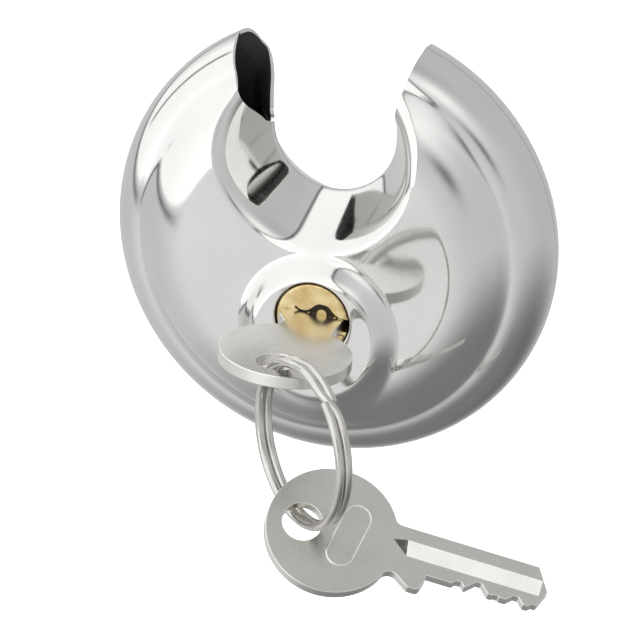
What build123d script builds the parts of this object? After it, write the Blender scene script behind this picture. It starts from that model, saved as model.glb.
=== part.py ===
from build123d import *

import math
import os

# Disc padlock with a round stainless body, its cylinder, curved shackle, keys and split ring.
# Millimetres. The origin is the centre of the disc, on the axis that the shackle turns about.
# +X is right and +Z is up as seen from the keyhole side; the keyhole faces -Y.
# Angles called "bearing" are measured about the disc's axis, clockwise from +Z seen from the keyhole side.
# The model stands in the open state: shackle drawn back into the body, key turned in the plug.

# --- body shells ---
disc_radius = 35.0  # largest radius, at the welded seam
sheet = 1.2  # wall of the stamped shells
bead_depth = 5.6  # radial half-axis of the rim bead
bead_half_width = 7.2  # half-width of the rim bead along the disc's axis
face_height = 11.8  # from the seam to the flat face
shoulder_width = 8.9  # from the edge of the flat face out to the crease
crease_fillet = 1.5  # soft groove between the shoulder and the bead

# --- throat and mouth ---
throat_spacing = 29.1  # from the bosses' axis up to the throat's axis
throat_radius = 9.9  # at the ridge where the two shells meet
throat_ridge_round = 2.2  # rounding of that ridge
throat_flare = 25.0  # degrees each side of the disc's axis
mouth_sill_rise = 1.5  # from the throat's axis up to where the cut ends of the horns begin
mouth_ledge = 1.4  # how much wider than the throat the mouth is there
mouth_top_half = 15.0  # half-width of the mouth at the rim
past_the_rim = 3.0  # how far a cutting tool runs past what it cuts

# --- bosses and drain holes ---
boss_base_radius = 12.4
boss_top_radius = 9.9
boss_height = 14.6  # from the seam to the flat top of either boss
front_boss_round = 0.8
rear_boss_round = 2.2
drain_radius = 1.5
boss_drain_rise = 7.2  # drain hole in the rear boss, above its centre

# --- shackle and its travel ---
shackle_section_radius = 4.6
shackle_travel = 72.0  # degrees from open to closed
shackle_tip_bearing = 32.0  # tip in the open state
shackle_tail_margin = 14.0  # degrees of bar beyond the middle of the lug
shackle_tip_round = 1.2
shackle_relief = 0.35  # room round the bar where the throat wall comes close
guide_clearance = 0.1
guide_wall = 1.1
guide_wrap = 97.0  # degrees each way that the guide holds the bar
guide_shell_gap = 0.2  # between the guides and the inside of the rim
guide_lead = 6.0  # degrees from the open shackle's tip to the start of the guides
stop_gap = 0.3
stop_length_angle = 4.0

# --- cylinder ---
plug_rise = 3.2  # the plug's axis above the bosses' axis
plug_radius = 5.7
plug_face_depth = 0.4  # plug face below the boss top
running_clearance = 0.06
plug_hole_clearance = 0.15
drill_plate_side_gap = 0.2
drill_plate_thickness = 1.6
drill_plate_gap = 0.1
housing_side_gap = 2.2  # housing's radius below that of the boss's base
housing_rear_y = 4.2
ear_thickness = 2.0
ear_overhang = 2.6  # of the mounting ears past the studs' centres
ear_height = 6.4
stud_side_gap = 2.8  # from the housing's side to a stud's axis
stud_radius = 1.25
stud_hole_clearance = 0.1
stud_length = 4.0
nut_flats = 4.6
nut_thickness = 1.8
clip_thickness = 0.5
clip_groove_depth = 0.9
clip_rim = 1.0
clip_seat_gap = 0.02
clip_mouth = 3.0
plug_tail_radius = 2.6
plug_tail_flats = 1.9
plug_stand_out = 0.75  # of the plug behind the housing

# --- pin stacks ---
pin_count = 5
pin_pitch = 3.0
first_pin_y = -9.2
pin_radius = 1.3
pin_clearance = 0.05
cut_roots = (1.3, 0.5, 1.7, 0.9, 1.4)  # height of each key cut from the plug's axis
driver_length = 2.5
chamber_plug_thickness = 0.9
chamber_plug_recess = 0.43  # chamber plugs below the housing's surface
spring_wire = 0.28
spring_turns = 4
spring_end_gap = 0.05
spring_radius = 0.95
pin_tip_radius = 0.3
pin_seat_gap = 0.03
root_half = 0.36  # half the flat at the foot of a key cut

# --- drive from plug to shackle ---
drive_pin_radius = 1.1
roller_radius = 1.62
roller_wall_clearance = 0.05
slot_clearance = 0.08
lug_gap = 0.1  # between the plug's end and the lug
lug_thickness = 2.3
lug_mouth = 1.56  # lug's open end past the drive pin's nearest place
lug_overlap = 3.0  # of the lug with the shackle's section, measured inwards from its outer edge
lug_wall = 2.6
lug_foot_half = 5.6
lug_foot_depth = 3.4
lug_housing_gap = 0.4  # between the passing lug and the housing
lug_foot_front_y = 2.2
rivet_radius = 1.0
rivet_edge = 1.2  # rivets' centres in from the lug's outer edge
rivet_half_spacing = 4.2
rivet_depth_y = 0.6
cam_gap = 0.3
cam_thickness = 2.2
cam_hub_radius = 4.3
cam_tip_radius = 2.5
cam_screw_radius = 1.2
cam_screw_head_radius = 2.3
cam_screw_head_height = 1.3
cam_screw_grip = 4.4

# --- keys ---
key_thickness = 2.0
key_bow_radius = 10.3
key_hole_radius = 3.1
key_hole_offset = 4.75  # from the bow's centre, away from the blade
key_shank = 5.5  # from the bow's edge to the shoulder
key_blade = 18.6  # from the shoulder to the tip
key_spine = 4.3  # spine from the bow's centre line
key_top = 2.6  # uncut edge from the bow's centre line
key_shoulder = 5.4  # shoulder lobe from the bow's centre line
key_spine_in_plug = 5.0  # spine from the plug's axis
key_groove_width = 2.0
key_groove_depth = 0.6
groove_centre = -1.15
key_neck_round = 1.5
key_lobe_round = 0.8
key_lobe_width = 1.8
key_frame_length = 11.0  # raised blank frame on the bow
key_frame_width = 4.6
key_frame_line = 0.35
key_frame_rise = 0.12
key_frame_offset = 2.7
keyway_clearance = 0.06
keyway_angle_at_rest = 172.5  # direction of the key's cuts, counter-clockwise from +X seen from the front

# --- split ring and spare key ---
ring_wire_radius = 0.7
ring_mean_radius = 12.8
ring_plane_bearing = 133.4  # horizontal direction of the ring's plane, clockwise from the rear (+Y)
ring_crossing_drop = 9.75  # working key's mid-plane above the ring's centre
spare_hang = 0.3  # spare key's hole centre below the ring's wire, in the key's plane
spare_sideways = -0.8  # and to the side of it
spare_facing = (0.375, -0.616, 0.694)  # the way the spare key's framed face looks
spare_blade = (0.926, 0.214, -0.310)  # from its bow to its tip

# --- worked out ---
crease_radius = disc_radius - bead_depth
face_flat_radius = crease_radius - shoulder_width
shackle_bend_radius = (
    disc_radius - sheet - guide_shell_gap - guide_wall - guide_clearance - shackle_section_radius
)
lug_outer_radius = shackle_bend_radius - shackle_section_radius + lug_overlap
lug_foot_radius = lug_outer_radius - lug_foot_depth
rivet_bend_radius = lug_outer_radius - rivet_edge
housing_radius = boss_base_radius - housing_side_gap
boss_z = -(lug_foot_radius - lug_housing_gap - housing_radius)
plug_z = boss_z + plug_rise
throat_z = boss_z + throat_spacing
mouth_sill_z = throat_z + mouth_sill_rise
mouth_sill_half = throat_radius + mouth_ledge
drive_radius = -plug_z  # the drive pin's circle passes through the disc's centre, so the shackle turns half
lug_inner_radius = 2 * drive_radius * math.cos(math.radians(shackle_travel / 2)) - lug_mouth
guide_start_bearing = shackle_tip_bearing + guide_lead
drill_plate_radius = boss_top_radius - sheet - drill_plate_side_gap
stud_x = housing_radius + stud_side_gap
ear_reach = stud_x + ear_overhang
plug_end_y = housing_rear_y + plug_stand_out
lug_front_y = plug_end_y + lug_gap
plug_travel = 2 * shackle_travel
lug_bearing = 180.0 + shackle_travel / 2
shackle_tail_bearing = lug_bearing + shackle_tail_margin
shackle_span = shackle_tail_bearing - shackle_tip_bearing
guide_end_bearing = shackle_tail_bearing
plug_face_y = -boss_height + plug_face_depth
shoulder_rise = face_height - bead_half_width
shoulder_run = crease_radius - face_flat_radius
shoulder_radius = (shoulder_run**2 + shoulder_rise**2) / (2 * shoulder_rise)
shoulder_angle = math.degrees(math.asin(shoulder_run / shoulder_radius))
chamber_angle = keyway_angle_at_rest + plug_travel  # direction of the pin chambers
chamber_drop = -plug_rise * math.sin(math.radians(chamber_angle))
housing_reach = chamber_drop + math.sqrt(housing_radius**2 - plug_rise**2 + chamber_drop**2)
chamber_depth = housing_reach - chamber_plug_recess  # outer end of the chamber plugs from the plug's axis
pin_positions = [first_pin_y + pin_pitch * i for i in range(pin_count)]
housing_front_y = -boss_height + sheet + 2 * drill_plate_gap + drill_plate_thickness
lug_rear_y = lug_front_y + lug_thickness
cam_front_y = lug_rear_y + cam_gap
cam_rear_y = cam_front_y + cam_thickness
slot_half = roller_radius + slot_clearance
ear_front_y = -(face_height - sheet)
stop_bearing = shackle_tail_bearing + math.degrees(stop_gap / shackle_bend_radius)

os.makedirs("parts", exist_ok=True)


def at_bearing(bearing, radius, y=0.0):
    """Point at a bearing and radius about the disc's axis."""
    angle = math.radians(bearing)
    return Vector(radius * math.sin(angle), y, radius * math.cos(angle))


def section_plane(bearing):
    """Plane through the disc's axis: local x is outwards, local y is the axis."""
    out = at_bearing(bearing, 1.0)
    return Plane(origin=(0, 0, 0), x_dir=out, z_dir=out.cross(Vector(0, 1, 0)))


def across_plane(y, direction, origin=(0.0, 0.0)):
    """Plane square to the disc's axis at y, local x along a direction given counter-clockwise from +X."""
    angle = math.radians(direction)
    return Plane(
        origin=(origin[0], y, origin[1]),
        x_dir=(math.cos(angle), 0, math.sin(angle)),
        z_dir=(0, 1, 0),
    )


def boss_axis():
    """Axis of both bosses."""
    return Axis((0, 0, boss_z), (0, 1, 0))


def finish(name, part):
    """Labels one piece and writes it."""
    part.label = name
    export_step(part, f"parts/{name}.step")


def disc_form(side, inset, boss_round):
    """Half of the disc as a solid, drawn in by inset all over; side is +1 at the back, -1 at the front."""
    with BuildPart() as form:
        with BuildSketch(Plane.XY):
            with BuildLine():
                top = face_height - inset
                Polyline((disc_radius - inset, 0), (0, 0), (0, top), (face_flat_radius, top))
                CenterArc(
                    (face_flat_radius, face_height - shoulder_radius),
                    shoulder_radius - inset,
                    90,
                    -shoulder_angle,
                )
                if inset > 0:
                    CenterArc((crease_radius, bead_half_width), inset, 270 - shoulder_angle, shoulder_angle)
                EllipticalCenterArc(
                    (crease_radius, 0),
                    bead_depth - inset,
                    bead_half_width - inset,
                    start_angle=0,
                    arc_size=90,
                )
            make_face()
        revolve(axis=Axis.Y)
        if inset == 0:
            crease = form.edges().filter_by(
                lambda e: abs(e.center().Y - bead_half_width) < 0.01 and e.length > 6 * crease_radius
            )
            fillet(crease, crease_fillet)
        slope = (boss_base_radius - boss_top_radius) / (boss_height - face_height)
        side_inset = inset * math.sqrt(1 + slope**2)
        low = face_height - shoulder_rise
        with BuildSketch(Plane.XY.offset(boss_z)) as boss:
            with BuildLine():
                Polyline(
                    (0, low),
                    (boss_base_radius - side_inset + slope * (face_height - low), low),
                    (boss_top_radius - side_inset + slope * inset, boss_height - inset),
                    (0, boss_height - inset),
                    close=True,
                )
            make_face()
            rim = boss.vertices().group_by(Axis.Y)[-1].sort_by(Axis.X)[-1]
            fillet(rim, max(boss_round - inset, 0.2))
        revolve(axis=boss_axis())
        add(throat_funnel(inset), mode=Mode.SUBTRACT)
    return form.part if side > 0 else form.part.mirror(Plane.XZ)


def throat_funnel(inset):
    """The flared throat as a solid, grown by inset."""
    flare = math.radians(throat_flare)
    centre_x = throat_radius + throat_ridge_round
    arc_radius = throat_ridge_round - inset
    touch = (centre_x - arc_radius * math.cos(flare), arc_radius * math.sin(flare))
    reach = boss_height + 2
    end_x = touch[0] + (reach - touch[1]) * math.tan(flare)
    with BuildPart() as funnel:
        with BuildSketch(Plane.XY.offset(throat_z)):
            with BuildLine():
                Polyline((touch[0], touch[1]), (end_x, reach), (0, reach), (0, -reach), (end_x, -reach),
                         (touch[0], -touch[1]))
                ThreePointArc((touch[0], -touch[1]), (centre_x - arc_radius, 0), touch)
            make_face()
        revolve(axis=Axis((0, 0, throat_z), (0, 1, 0)))
    return funnel.part


def mouth_prism():
    """What is cut away between the horns."""
    rim_z = math.sqrt(disc_radius**2 - mouth_top_half**2)
    widening = (mouth_top_half - mouth_sill_half) / (rim_z - mouth_sill_z)
    top_z = disc_radius + past_the_rim
    top_half = mouth_sill_half + widening * (top_z - mouth_sill_z)
    with BuildPart() as prism:
        with BuildSketch(Plane.XZ):
            Polygon((-mouth_sill_half, mouth_sill_z), (mouth_sill_half, mouth_sill_z),
                    (top_half, top_z), (-top_half, top_z), align=None)
        extrude(amount=boss_height + 2, both=True)
    return prism.part


def ring_bar(radius, start_bearing, span):
    """Round bar bent about the disc's axis."""
    with BuildPart() as bar:
        with BuildSketch(section_plane(start_bearing)):
            with Locations((shackle_bend_radius, 0)):
                Circle(radius)
        revolve(axis=Axis.Y, revolution_arc=span)
    return bar.part


def shell_half(side, boss_round):
    """One stamped shell with its throat wall, open at the seam and at the mouth."""
    with BuildPart() as shell:
        add(disc_form(side, 0, boss_round))
        add(disc_form(side, sheet, boss_round), mode=Mode.SUBTRACT)
        add(mouth_prism(), mode=Mode.SUBTRACT)
        add(ring_bar(shackle_section_radius + shackle_relief, 0, 360), mode=Mode.SUBTRACT)
    return shell.part


# --- shells ---
with BuildPart() as front_shell:
    add(shell_half(-1, front_boss_round))
    with BuildSketch(across_plane(-boss_height - 1, 0, (0, plug_z))):
        Circle(plug_radius + plug_hole_clearance)
    extrude(amount=boss_height - face_height + 2, mode=Mode.SUBTRACT)
finish("front_shell", front_shell.part)

with BuildPart() as rear_shell:
    add(shell_half(1, rear_boss_round))
    with BuildSketch(across_plane(bead_half_width - past_the_rim, 0)):
        with PolarLocations(crease_radius, 3, start_angle=0, angular_range=180, endpoint=True):
            Circle(drain_radius)
    extrude(amount=2 * past_the_rim, mode=Mode.SUBTRACT)
    with BuildSketch(across_plane(boss_height - sheet - 1, 0, (0, boss_z + boss_drain_rise))):
        Circle(drain_radius)
    extrude(amount=sheet + 2, mode=Mode.SUBTRACT)
finish("rear_shell", rear_shell.part)


# --- shackle guides and stop ---
def guide_half(side):
    """Half of the pressed channel that the shackle slides in."""
    inner = shackle_section_radius + guide_clearance
    outer = inner + guide_wall
    with BuildPart() as guide:
        with BuildSketch(section_plane(guide_start_bearing)):
            with BuildLine():
                centre = (shackle_bend_radius, 0)
                near = CenterArc(centre, inner, 0, side * guide_wrap)
                far = CenterArc(centre, outer, 0, side * guide_wrap)
                Line(near @ 0, far @ 0)
                Line(near @ 1, far @ 1)
            make_face()
        revolve(axis=Axis.Y, revolution_arc=guide_end_bearing - guide_start_bearing)
    return guide.part


with BuildPart() as front_guide:
    add(guide_half(-1))
finish("front_guide", front_guide.part)

with BuildPart() as rear_guide:
    add(guide_half(1))
finish("rear_guide", rear_guide.part)

with BuildPart() as shackle_stop:
    add(ring_bar(shackle_section_radius + guide_clearance + guide_wall, stop_bearing, stop_length_angle))
finish("shackle_stop", shackle_stop.part)


# --- shackle, lug and rivets ---
def rivet_set():
    """The two flush rivets that hold the lug to the shackle."""
    with BuildPart() as rivets:
        with BuildSketch(across_plane(rivet_depth_y, 90 - lug_bearing)):
            with Locations(*[(rivet_bend_radius, side * rivet_half_spacing) for side in (-1, 1)]):
                Circle(rivet_radius)
        extrude(amount=lug_rear_y - rivet_depth_y)
    return rivets.part


with BuildPart() as shackle:
    add(ring_bar(shackle_section_radius, shackle_tip_bearing, shackle_span))
    ends = shackle.edges().filter_by(GeomType.CIRCLE).filter_by(
        lambda e: abs(e.radius - shackle_section_radius) < 0.01
    )
    fillet(ends, shackle_tip_round)
    add(rivet_set(), mode=Mode.SUBTRACT)
finish("shackle", shackle.part)

with BuildPart() as shackle_lug:
    lug_half = slot_half + lug_wall
    with BuildSketch(across_plane(lug_front_y, 90 - lug_bearing)):
        with Locations(((lug_inner_radius + lug_outer_radius) / 2, 0)):
            Rectangle(lug_outer_radius - lug_inner_radius, 2 * lug_half)
    extrude(amount=lug_thickness)
    with BuildSketch(across_plane(lug_foot_front_y, 90 - lug_bearing)):
        with Locations(((lug_foot_radius + lug_outer_radius) / 2, 0)):
            Rectangle(lug_outer_radius - lug_foot_radius, 2 * lug_foot_half)
    extrude(amount=lug_rear_y - lug_foot_front_y)
    with BuildSketch(across_plane(lug_front_y, 90 - lug_bearing)):
        with Locations((lug_inner_radius - 2, 0)):
            Rectangle(2 * (2 * drive_radius - lug_inner_radius + 2), 2 * slot_half)
        with Locations((2 * drive_radius, 0)):
            Circle(slot_half)
    extrude(amount=lug_thickness, mode=Mode.SUBTRACT)
    add(ring_bar(shackle_section_radius, lug_bearing - 40, 80), mode=Mode.SUBTRACT)
    add(rivet_set(), mode=Mode.SUBTRACT)
finish("shackle_lug", shackle_lug.part)

with BuildPart() as lug_rivets:
    add(rivet_set())
finish("lug_rivets", lug_rivets.part)


# --- cylinder: housing, plug, pins ---
def along_plug(direction, y, reach):
    """Plane across a pin hole: origin at reach from the plug's axis, local z outwards."""
    angle = math.radians(direction)
    out = Vector(math.cos(angle), 0, math.sin(angle))
    return Plane(origin=Vector(0, y, plug_z) + out * reach, x_dir=(0, 1, 0), z_dir=out)


def radial_pegs(direction, radius, inner, outer):
    """Row of round pegs or holes square to the plug's axis."""
    with BuildPart() as pegs:
        for y in pin_positions:
            with BuildSketch(along_plug(direction, y, inner)):
                Circle(radius)
            extrude(amount=outer - inner)
    return pegs.part


hole_radius = pin_radius + pin_clearance
with BuildPart() as cylinder_housing:
    with BuildSketch(across_plane(housing_front_y, 0, (0, boss_z))):
        Circle(housing_radius)
    extrude(amount=housing_rear_y - housing_front_y)
    with BuildSketch(across_plane(ear_front_y, 0, (0, boss_z))):
        SlotOverall(2 * ear_reach, ear_height)
    extrude(amount=ear_thickness)
    with BuildSketch(across_plane(housing_front_y, 0, (0, plug_z))):
        Circle(plug_radius + running_clearance)
    extrude(amount=housing_rear_y - housing_front_y, mode=Mode.SUBTRACT)
    with BuildSketch(across_plane(ear_front_y, 0, (0, boss_z))):
        with Locations((-stud_x, 0), (stud_x, 0)):
            Circle(stud_radius + stud_hole_clearance)
    extrude(amount=ear_thickness, mode=Mode.SUBTRACT)
    add(radial_pegs(chamber_angle, hole_radius, 0, 2 * housing_radius), mode=Mode.SUBTRACT)
    with BuildSketch(across_plane(housing_front_y - past_the_rim, 0, (0, boss_z))):
        Circle(drill_plate_radius + drill_plate_side_gap)
    extrude(amount=past_the_rim, mode=Mode.SUBTRACT)
finish("cylinder_housing", cylinder_housing.part)

with BuildPart() as drill_guard:
    with BuildSketch(across_plane(housing_front_y - drill_plate_gap - drill_plate_thickness, 0)):
        with Locations((0, -boss_z)):
            Circle(drill_plate_radius)
        with Locations((0, -plug_z)):
            Circle(plug_radius + plug_hole_clearance, mode=Mode.SUBTRACT)
    extrude(amount=drill_plate_thickness)
finish("drill_guard", drill_guard.part)

with BuildPart() as weld_studs:
    with BuildSketch(across_plane(ear_front_y, 0, (0, boss_z))):
        with Locations((-stud_x, 0), (stud_x, 0)):
            Circle(stud_radius)
    extrude(amount=stud_length)
finish("weld_studs", weld_studs.part)

with BuildPart() as stud_nuts:
    with BuildSketch(across_plane(ear_front_y + ear_thickness, 0, (0, boss_z))):
        with Locations((-stud_x, 0), (stud_x, 0)):
            RegularPolygon(nut_flats / 2, 6, major_radius=False)
            Circle(stud_radius, mode=Mode.SUBTRACT)
    extrude(amount=nut_thickness)
finish("stud_nuts", stud_nuts.part)


def tail_section(clearance):
    """Round tail with two flats, on the current sketch."""
    with BuildSketch(mode=Mode.PRIVATE) as tail:
        Circle(plug_tail_radius + clearance)
        Rectangle(4 * plug_tail_radius, 2 * (plug_tail_flats + clearance), mode=Mode.INTERSECT)
    return tail.sketch


clip_front_y = housing_rear_y + running_clearance / 2
with BuildPart() as plug:
    with BuildSketch(across_plane(plug_face_y, 0, (0, plug_z))):
        Circle(plug_radius)
    extrude(amount=plug_end_y - plug_face_y)
    with BuildSketch(across_plane(plug_end_y, keyway_angle_at_rest, (0, plug_z))):
        add(tail_section(0))
    extrude(amount=cam_rear_y - plug_end_y)
    with BuildSketch(across_plane(clip_front_y, 0, (0, plug_z))):
        Circle(plug_radius + 1)
        Circle(plug_radius - clip_groove_depth, mode=Mode.SUBTRACT)
    extrude(amount=clip_thickness, mode=Mode.SUBTRACT)
    with BuildSketch(across_plane(plug_face_y, keyway_angle_at_rest, (0, plug_z))):
        keyway_top = key_top + key_spine - key_spine_in_plug
        with Locations(((keyway_top + keyway_clearance - plug_radius - 1) / 2, 0)):
            Rectangle(keyway_top + keyway_clearance + plug_radius + 1, key_thickness + 2 * keyway_clearance)
    extrude(amount=key_blade + keyway_clearance, mode=Mode.SUBTRACT)
    pin_holes = radial_pegs(keyway_angle_at_rest, hole_radius, min(cut_roots) - 0.3, plug_radius + 1)
    add(pin_holes, mode=Mode.SUBTRACT)
    with BuildSketch(across_plane(cam_rear_y - cam_screw_grip, 0, (0, plug_z))):
        Circle(cam_screw_radius)
    extrude(amount=cam_screw_grip, mode=Mode.SUBTRACT)
finish("plug", plug.part)

with BuildPart() as plug_clip:
    with BuildSketch(across_plane(clip_front_y, 0, (0, plug_z))):
        Circle(plug_radius + clip_rim)
        Circle(plug_radius - clip_groove_depth + clip_seat_gap, mode=Mode.SUBTRACT)
        with Locations((0, -plug_radius)):
            Rectangle(plug_radius, 2 * clip_rim + clip_mouth, mode=Mode.SUBTRACT)
    extrude(amount=clip_thickness)
finish("plug_clip", plug_clip.part)

with BuildPart() as key_pins:
    for pin_y, root in zip(pin_positions, cut_roots):
        cone = pin_radius - pin_tip_radius
        foot_reach = root + pin_seat_gap
        with BuildSketch(along_plug(keyway_angle_at_rest, pin_y, foot_reach)):
            Circle(pin_radius)
        extrude(amount=math.sqrt(plug_radius**2 - pin_radius**2) - foot_reach)
        point = key_pins.edges().filter_by(GeomType.CIRCLE).filter_by(
            lambda e: abs(e.arc_center.Y - pin_y) < 0.01
        ).sort_by(lambda e: (e.arc_center - Vector(0, pin_y, plug_z)).length)[0]
        chamfer(point, cone)
finish("key_pins", key_pins.part)

driver_inner = plug_radius + running_clearance + 0.02
with BuildPart() as driver_pins:
    add(radial_pegs(chamber_angle, pin_radius, driver_inner, driver_inner + driver_length))
finish("driver_pins", driver_pins.part)

with BuildPart() as chamber_plugs:
    add(radial_pegs(chamber_angle, hole_radius, chamber_depth - chamber_plug_thickness, chamber_depth))
finish("chamber_plugs", chamber_plugs.part)

with BuildPart() as pin_springs:
    coil_low = driver_inner + driver_length + spring_end_gap + spring_wire / 2
    coil_high = chamber_depth - chamber_plug_thickness - spring_end_gap - spring_wire / 2
    for pin_y in pin_positions:
        seat = along_plug(chamber_angle, pin_y, coil_low)
        coil_length = coil_high - coil_low
        with BuildLine():
            coil = Helix(coil_length / spring_turns, coil_length, spring_radius, seat.origin, seat.z_dir)
        with BuildSketch(Plane(origin=coil @ 0, z_dir=coil % 0)):
            Circle(spring_wire / 2)
        sweep(path=coil)
finish("pin_springs", pin_springs.part)


# --- drive ---
drive_direction = 90 - (180 + plug_travel / 2)  # from the plug's axis to the drive pin, in the open state
with BuildPart() as drive_cam:
    with BuildSketch(across_plane(cam_front_y, drive_direction, (0, plug_z))):
        Circle(cam_hub_radius)
        with Locations((drive_radius, 0)):
            Circle(cam_tip_radius)
        make_hull()
        with Locations((drive_radius, 0)):
            Circle(drive_pin_radius, mode=Mode.SUBTRACT)
    extrude(amount=cam_thickness)
    with BuildSketch(across_plane(cam_front_y, keyway_angle_at_rest, (0, plug_z))):
        add(tail_section(0.03))
    extrude(amount=cam_thickness, mode=Mode.SUBTRACT)
finish("drive_cam", drive_cam.part)

with BuildPart() as drive_pin:
    with BuildSketch(across_plane(lug_front_y, drive_direction, (0, plug_z))):
        with Locations((drive_radius, 0)):
            Circle(drive_pin_radius)
    extrude(amount=cam_rear_y - lug_front_y)
finish("drive_pin", drive_pin.part)

with BuildPart() as drive_roller:
    with BuildSketch(across_plane(lug_front_y + 0.1, drive_direction, (0, plug_z))):
        with Locations((drive_radius, 0)):
            Circle(roller_radius)
            Circle(drive_pin_radius + roller_wall_clearance, mode=Mode.SUBTRACT)
    extrude(amount=lug_thickness - 0.1)
finish("drive_roller", drive_roller.part)

with BuildPart() as cam_screw:
    with BuildSketch(across_plane(cam_rear_y - cam_screw_grip, 0, (0, plug_z))):
        Circle(cam_screw_radius)
    extrude(amount=cam_screw_grip)
    with BuildSketch(across_plane(cam_rear_y, 0, (0, plug_z))):
        Circle(cam_screw_head_radius)
    extrude(amount=cam_screw_head_height)
    with BuildSketch(across_plane(cam_rear_y + cam_screw_head_height / 2, 0, (0, plug_z))):
        Rectangle(2 * cam_screw_head_radius, 0.6)
    extrude(amount=cam_screw_head_height, mode=Mode.SUBTRACT)
finish("cam_screw", cam_screw.part)


# --- keys and ring ---
def key_blank():
    """Outline of a cut key: x from the bow's centre to the tip, y towards the cuts."""
    shoulder_x = key_bow_radius + key_shank
    tip_x = shoulder_x + key_blade
    outline = [(0, -key_spine), (tip_x - 2.2, -key_spine), (tip_x, -0.6)]
    centre_y = plug_face_y - shoulder_x
    lift = key_spine_in_plug - key_spine
    stops = [(pin_y - centre_y, root + lift) for pin_y, root in zip(pin_positions, cut_roots)][::-1]
    for index, (x, root) in enumerate(stops):
        outline += [(x + root_half, root), (x - root_half, root)]
        if index < len(stops) - 1:
            next_root = stops[index + 1][1]
            peak = (root + next_root + pin_pitch) / 2 - root_half
            if peak < key_top:
                outline.append((x - root_half - (peak - root), peak))
            else:
                outline += [(x - root_half - (key_top - root), key_top),
                            (x - pin_pitch + root_half + (key_top - next_root), key_top)]
        else:
            outline.append((x - root_half - (key_top - root), key_top))
    outline += [(shoulder_x - 0.05, key_top), (shoulder_x - 0.05, key_top + 0.8),
                (shoulder_x - 0.6, key_shoulder), (shoulder_x - 0.6 - key_lobe_width, key_shoulder),
                (key_bow_radius - 0.4, key_top + 0.4), (0, key_top + 0.4)]
    with BuildSketch() as blank:
        Polygon(*outline, align=None)
        Circle(key_bow_radius)
        corners = blank.vertices().filter_by_position(Axis.X, key_bow_radius / 2, shoulder_x - 0.3)
        lobe = corners.filter_by_position(Axis.Y, key_shoulder - 0.01, key_shoulder + 0.01)
        neck = corners.filter_by_position(Axis.Y, -key_spine - 0.01, key_shoulder - 0.1)
        fillet(lobe, key_lobe_round)
        fillet(neck, key_neck_round)
        with Locations((-key_hole_offset, 0)):
            Circle(key_hole_radius, mode=Mode.SUBTRACT)
    return blank.sketch


def cut_key(plane):
    """One key: its plane's local x runs from the bow's centre to the tip, local y towards the cuts."""
    tip_x = key_bow_radius + key_shank + key_blade
    with BuildPart() as key:
        with BuildSketch(plane.offset(-key_thickness / 2)):
            add(key_blank())
        extrude(amount=key_thickness)
        with BuildSketch(plane.offset(-key_thickness / 2)):
            with Locations(((key_bow_radius - 1 + tip_x) / 2, groove_centre)):
                Rectangle(tip_x - key_bow_radius + 1, key_groove_width)
        extrude(amount=key_groove_depth, mode=Mode.SUBTRACT)
        with BuildSketch(plane.offset(-key_thickness / 2 - key_frame_rise)):
            with Locations((key_frame_offset, 0)):
                SlotOverall(key_frame_length, key_frame_width, rotation=100)
                SlotOverall(key_frame_length - 2 * key_frame_line, key_frame_width - 2 * key_frame_line,
                            rotation=100, mode=Mode.SUBTRACT)
        extrude(amount=key_frame_rise)
    return key.part


cuts = across_plane(0, keyway_angle_at_rest).x_dir
bow_centre = Vector(0, plug_face_y - key_shank - key_bow_radius, plug_z)
bow_centre -= cuts * (key_spine_in_plug - key_spine)
key_plane = Plane(origin=bow_centre, x_dir=(0, 1, 0), z_dir=Vector(0, 1, 0).cross(cuts))
with BuildPart() as working_key:
    add(cut_key(key_plane))
finish("working_key", working_key.part)

ring_way = Vector(math.sin(math.radians(ring_plane_bearing)), math.cos(math.radians(ring_plane_bearing)), 0)
crossing_run = math.sqrt(ring_mean_radius**2 - ring_crossing_drop**2)
key_hole_centre = bow_centre - Vector(0, key_hole_offset, 0)
ring_centre = key_hole_centre + ring_way * crossing_run - Vector(0, 0, ring_crossing_drop)
ring_normal = ring_way.cross(Vector(0, 0, 1))
with BuildPart() as key_ring:
    with BuildSketch(Plane(origin=ring_centre, x_dir=ring_way, z_dir=ring_way.cross(ring_normal))):
        with Locations((ring_mean_radius, ring_wire_radius), (ring_mean_radius, -ring_wire_radius)):
            Circle(ring_wire_radius)
        with Locations((ring_mean_radius, 0)):
            Rectangle(ring_wire_radius, ring_wire_radius)
    revolve(axis=Axis(ring_centre, ring_normal))
finish("key_ring", key_ring.part)

facing = Vector(*spare_facing).normalized()
blade_way = Vector(*spare_blade)
blade_way = (blade_way - facing * blade_way.dot(facing)).normalized()
down_in_plane = (facing * facing.Z - Vector(0, 0, 1)).normalized()
ring_foot = ring_centre - Vector(0, 0, ring_mean_radius)
spare_hole_centre = ring_foot + down_in_plane * spare_hang + facing.cross(down_in_plane) * spare_sideways
spare_centre = spare_hole_centre + blade_way * key_hole_offset
with BuildPart() as spare_key:
    add(cut_key(Plane(origin=spare_centre, x_dir=blade_way, z_dir=-facing)))
finish("spare_key", spare_key.part)
print("ring joint at", tuple(key_hole_centre), "along", tuple(ring_way))
print("spare key joint at", tuple(spare_hole_centre), "along", tuple(-facing))
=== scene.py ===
"""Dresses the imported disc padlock: skinned shells, swept wire, finished metal and a soft studio."""

from __future__ import annotations

import logging
import math
from dataclasses import dataclass
from enum import Enum
from typing import Sequence

import bmesh
import bpy
import numpy as np
from mathutils import Matrix, Vector

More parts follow.
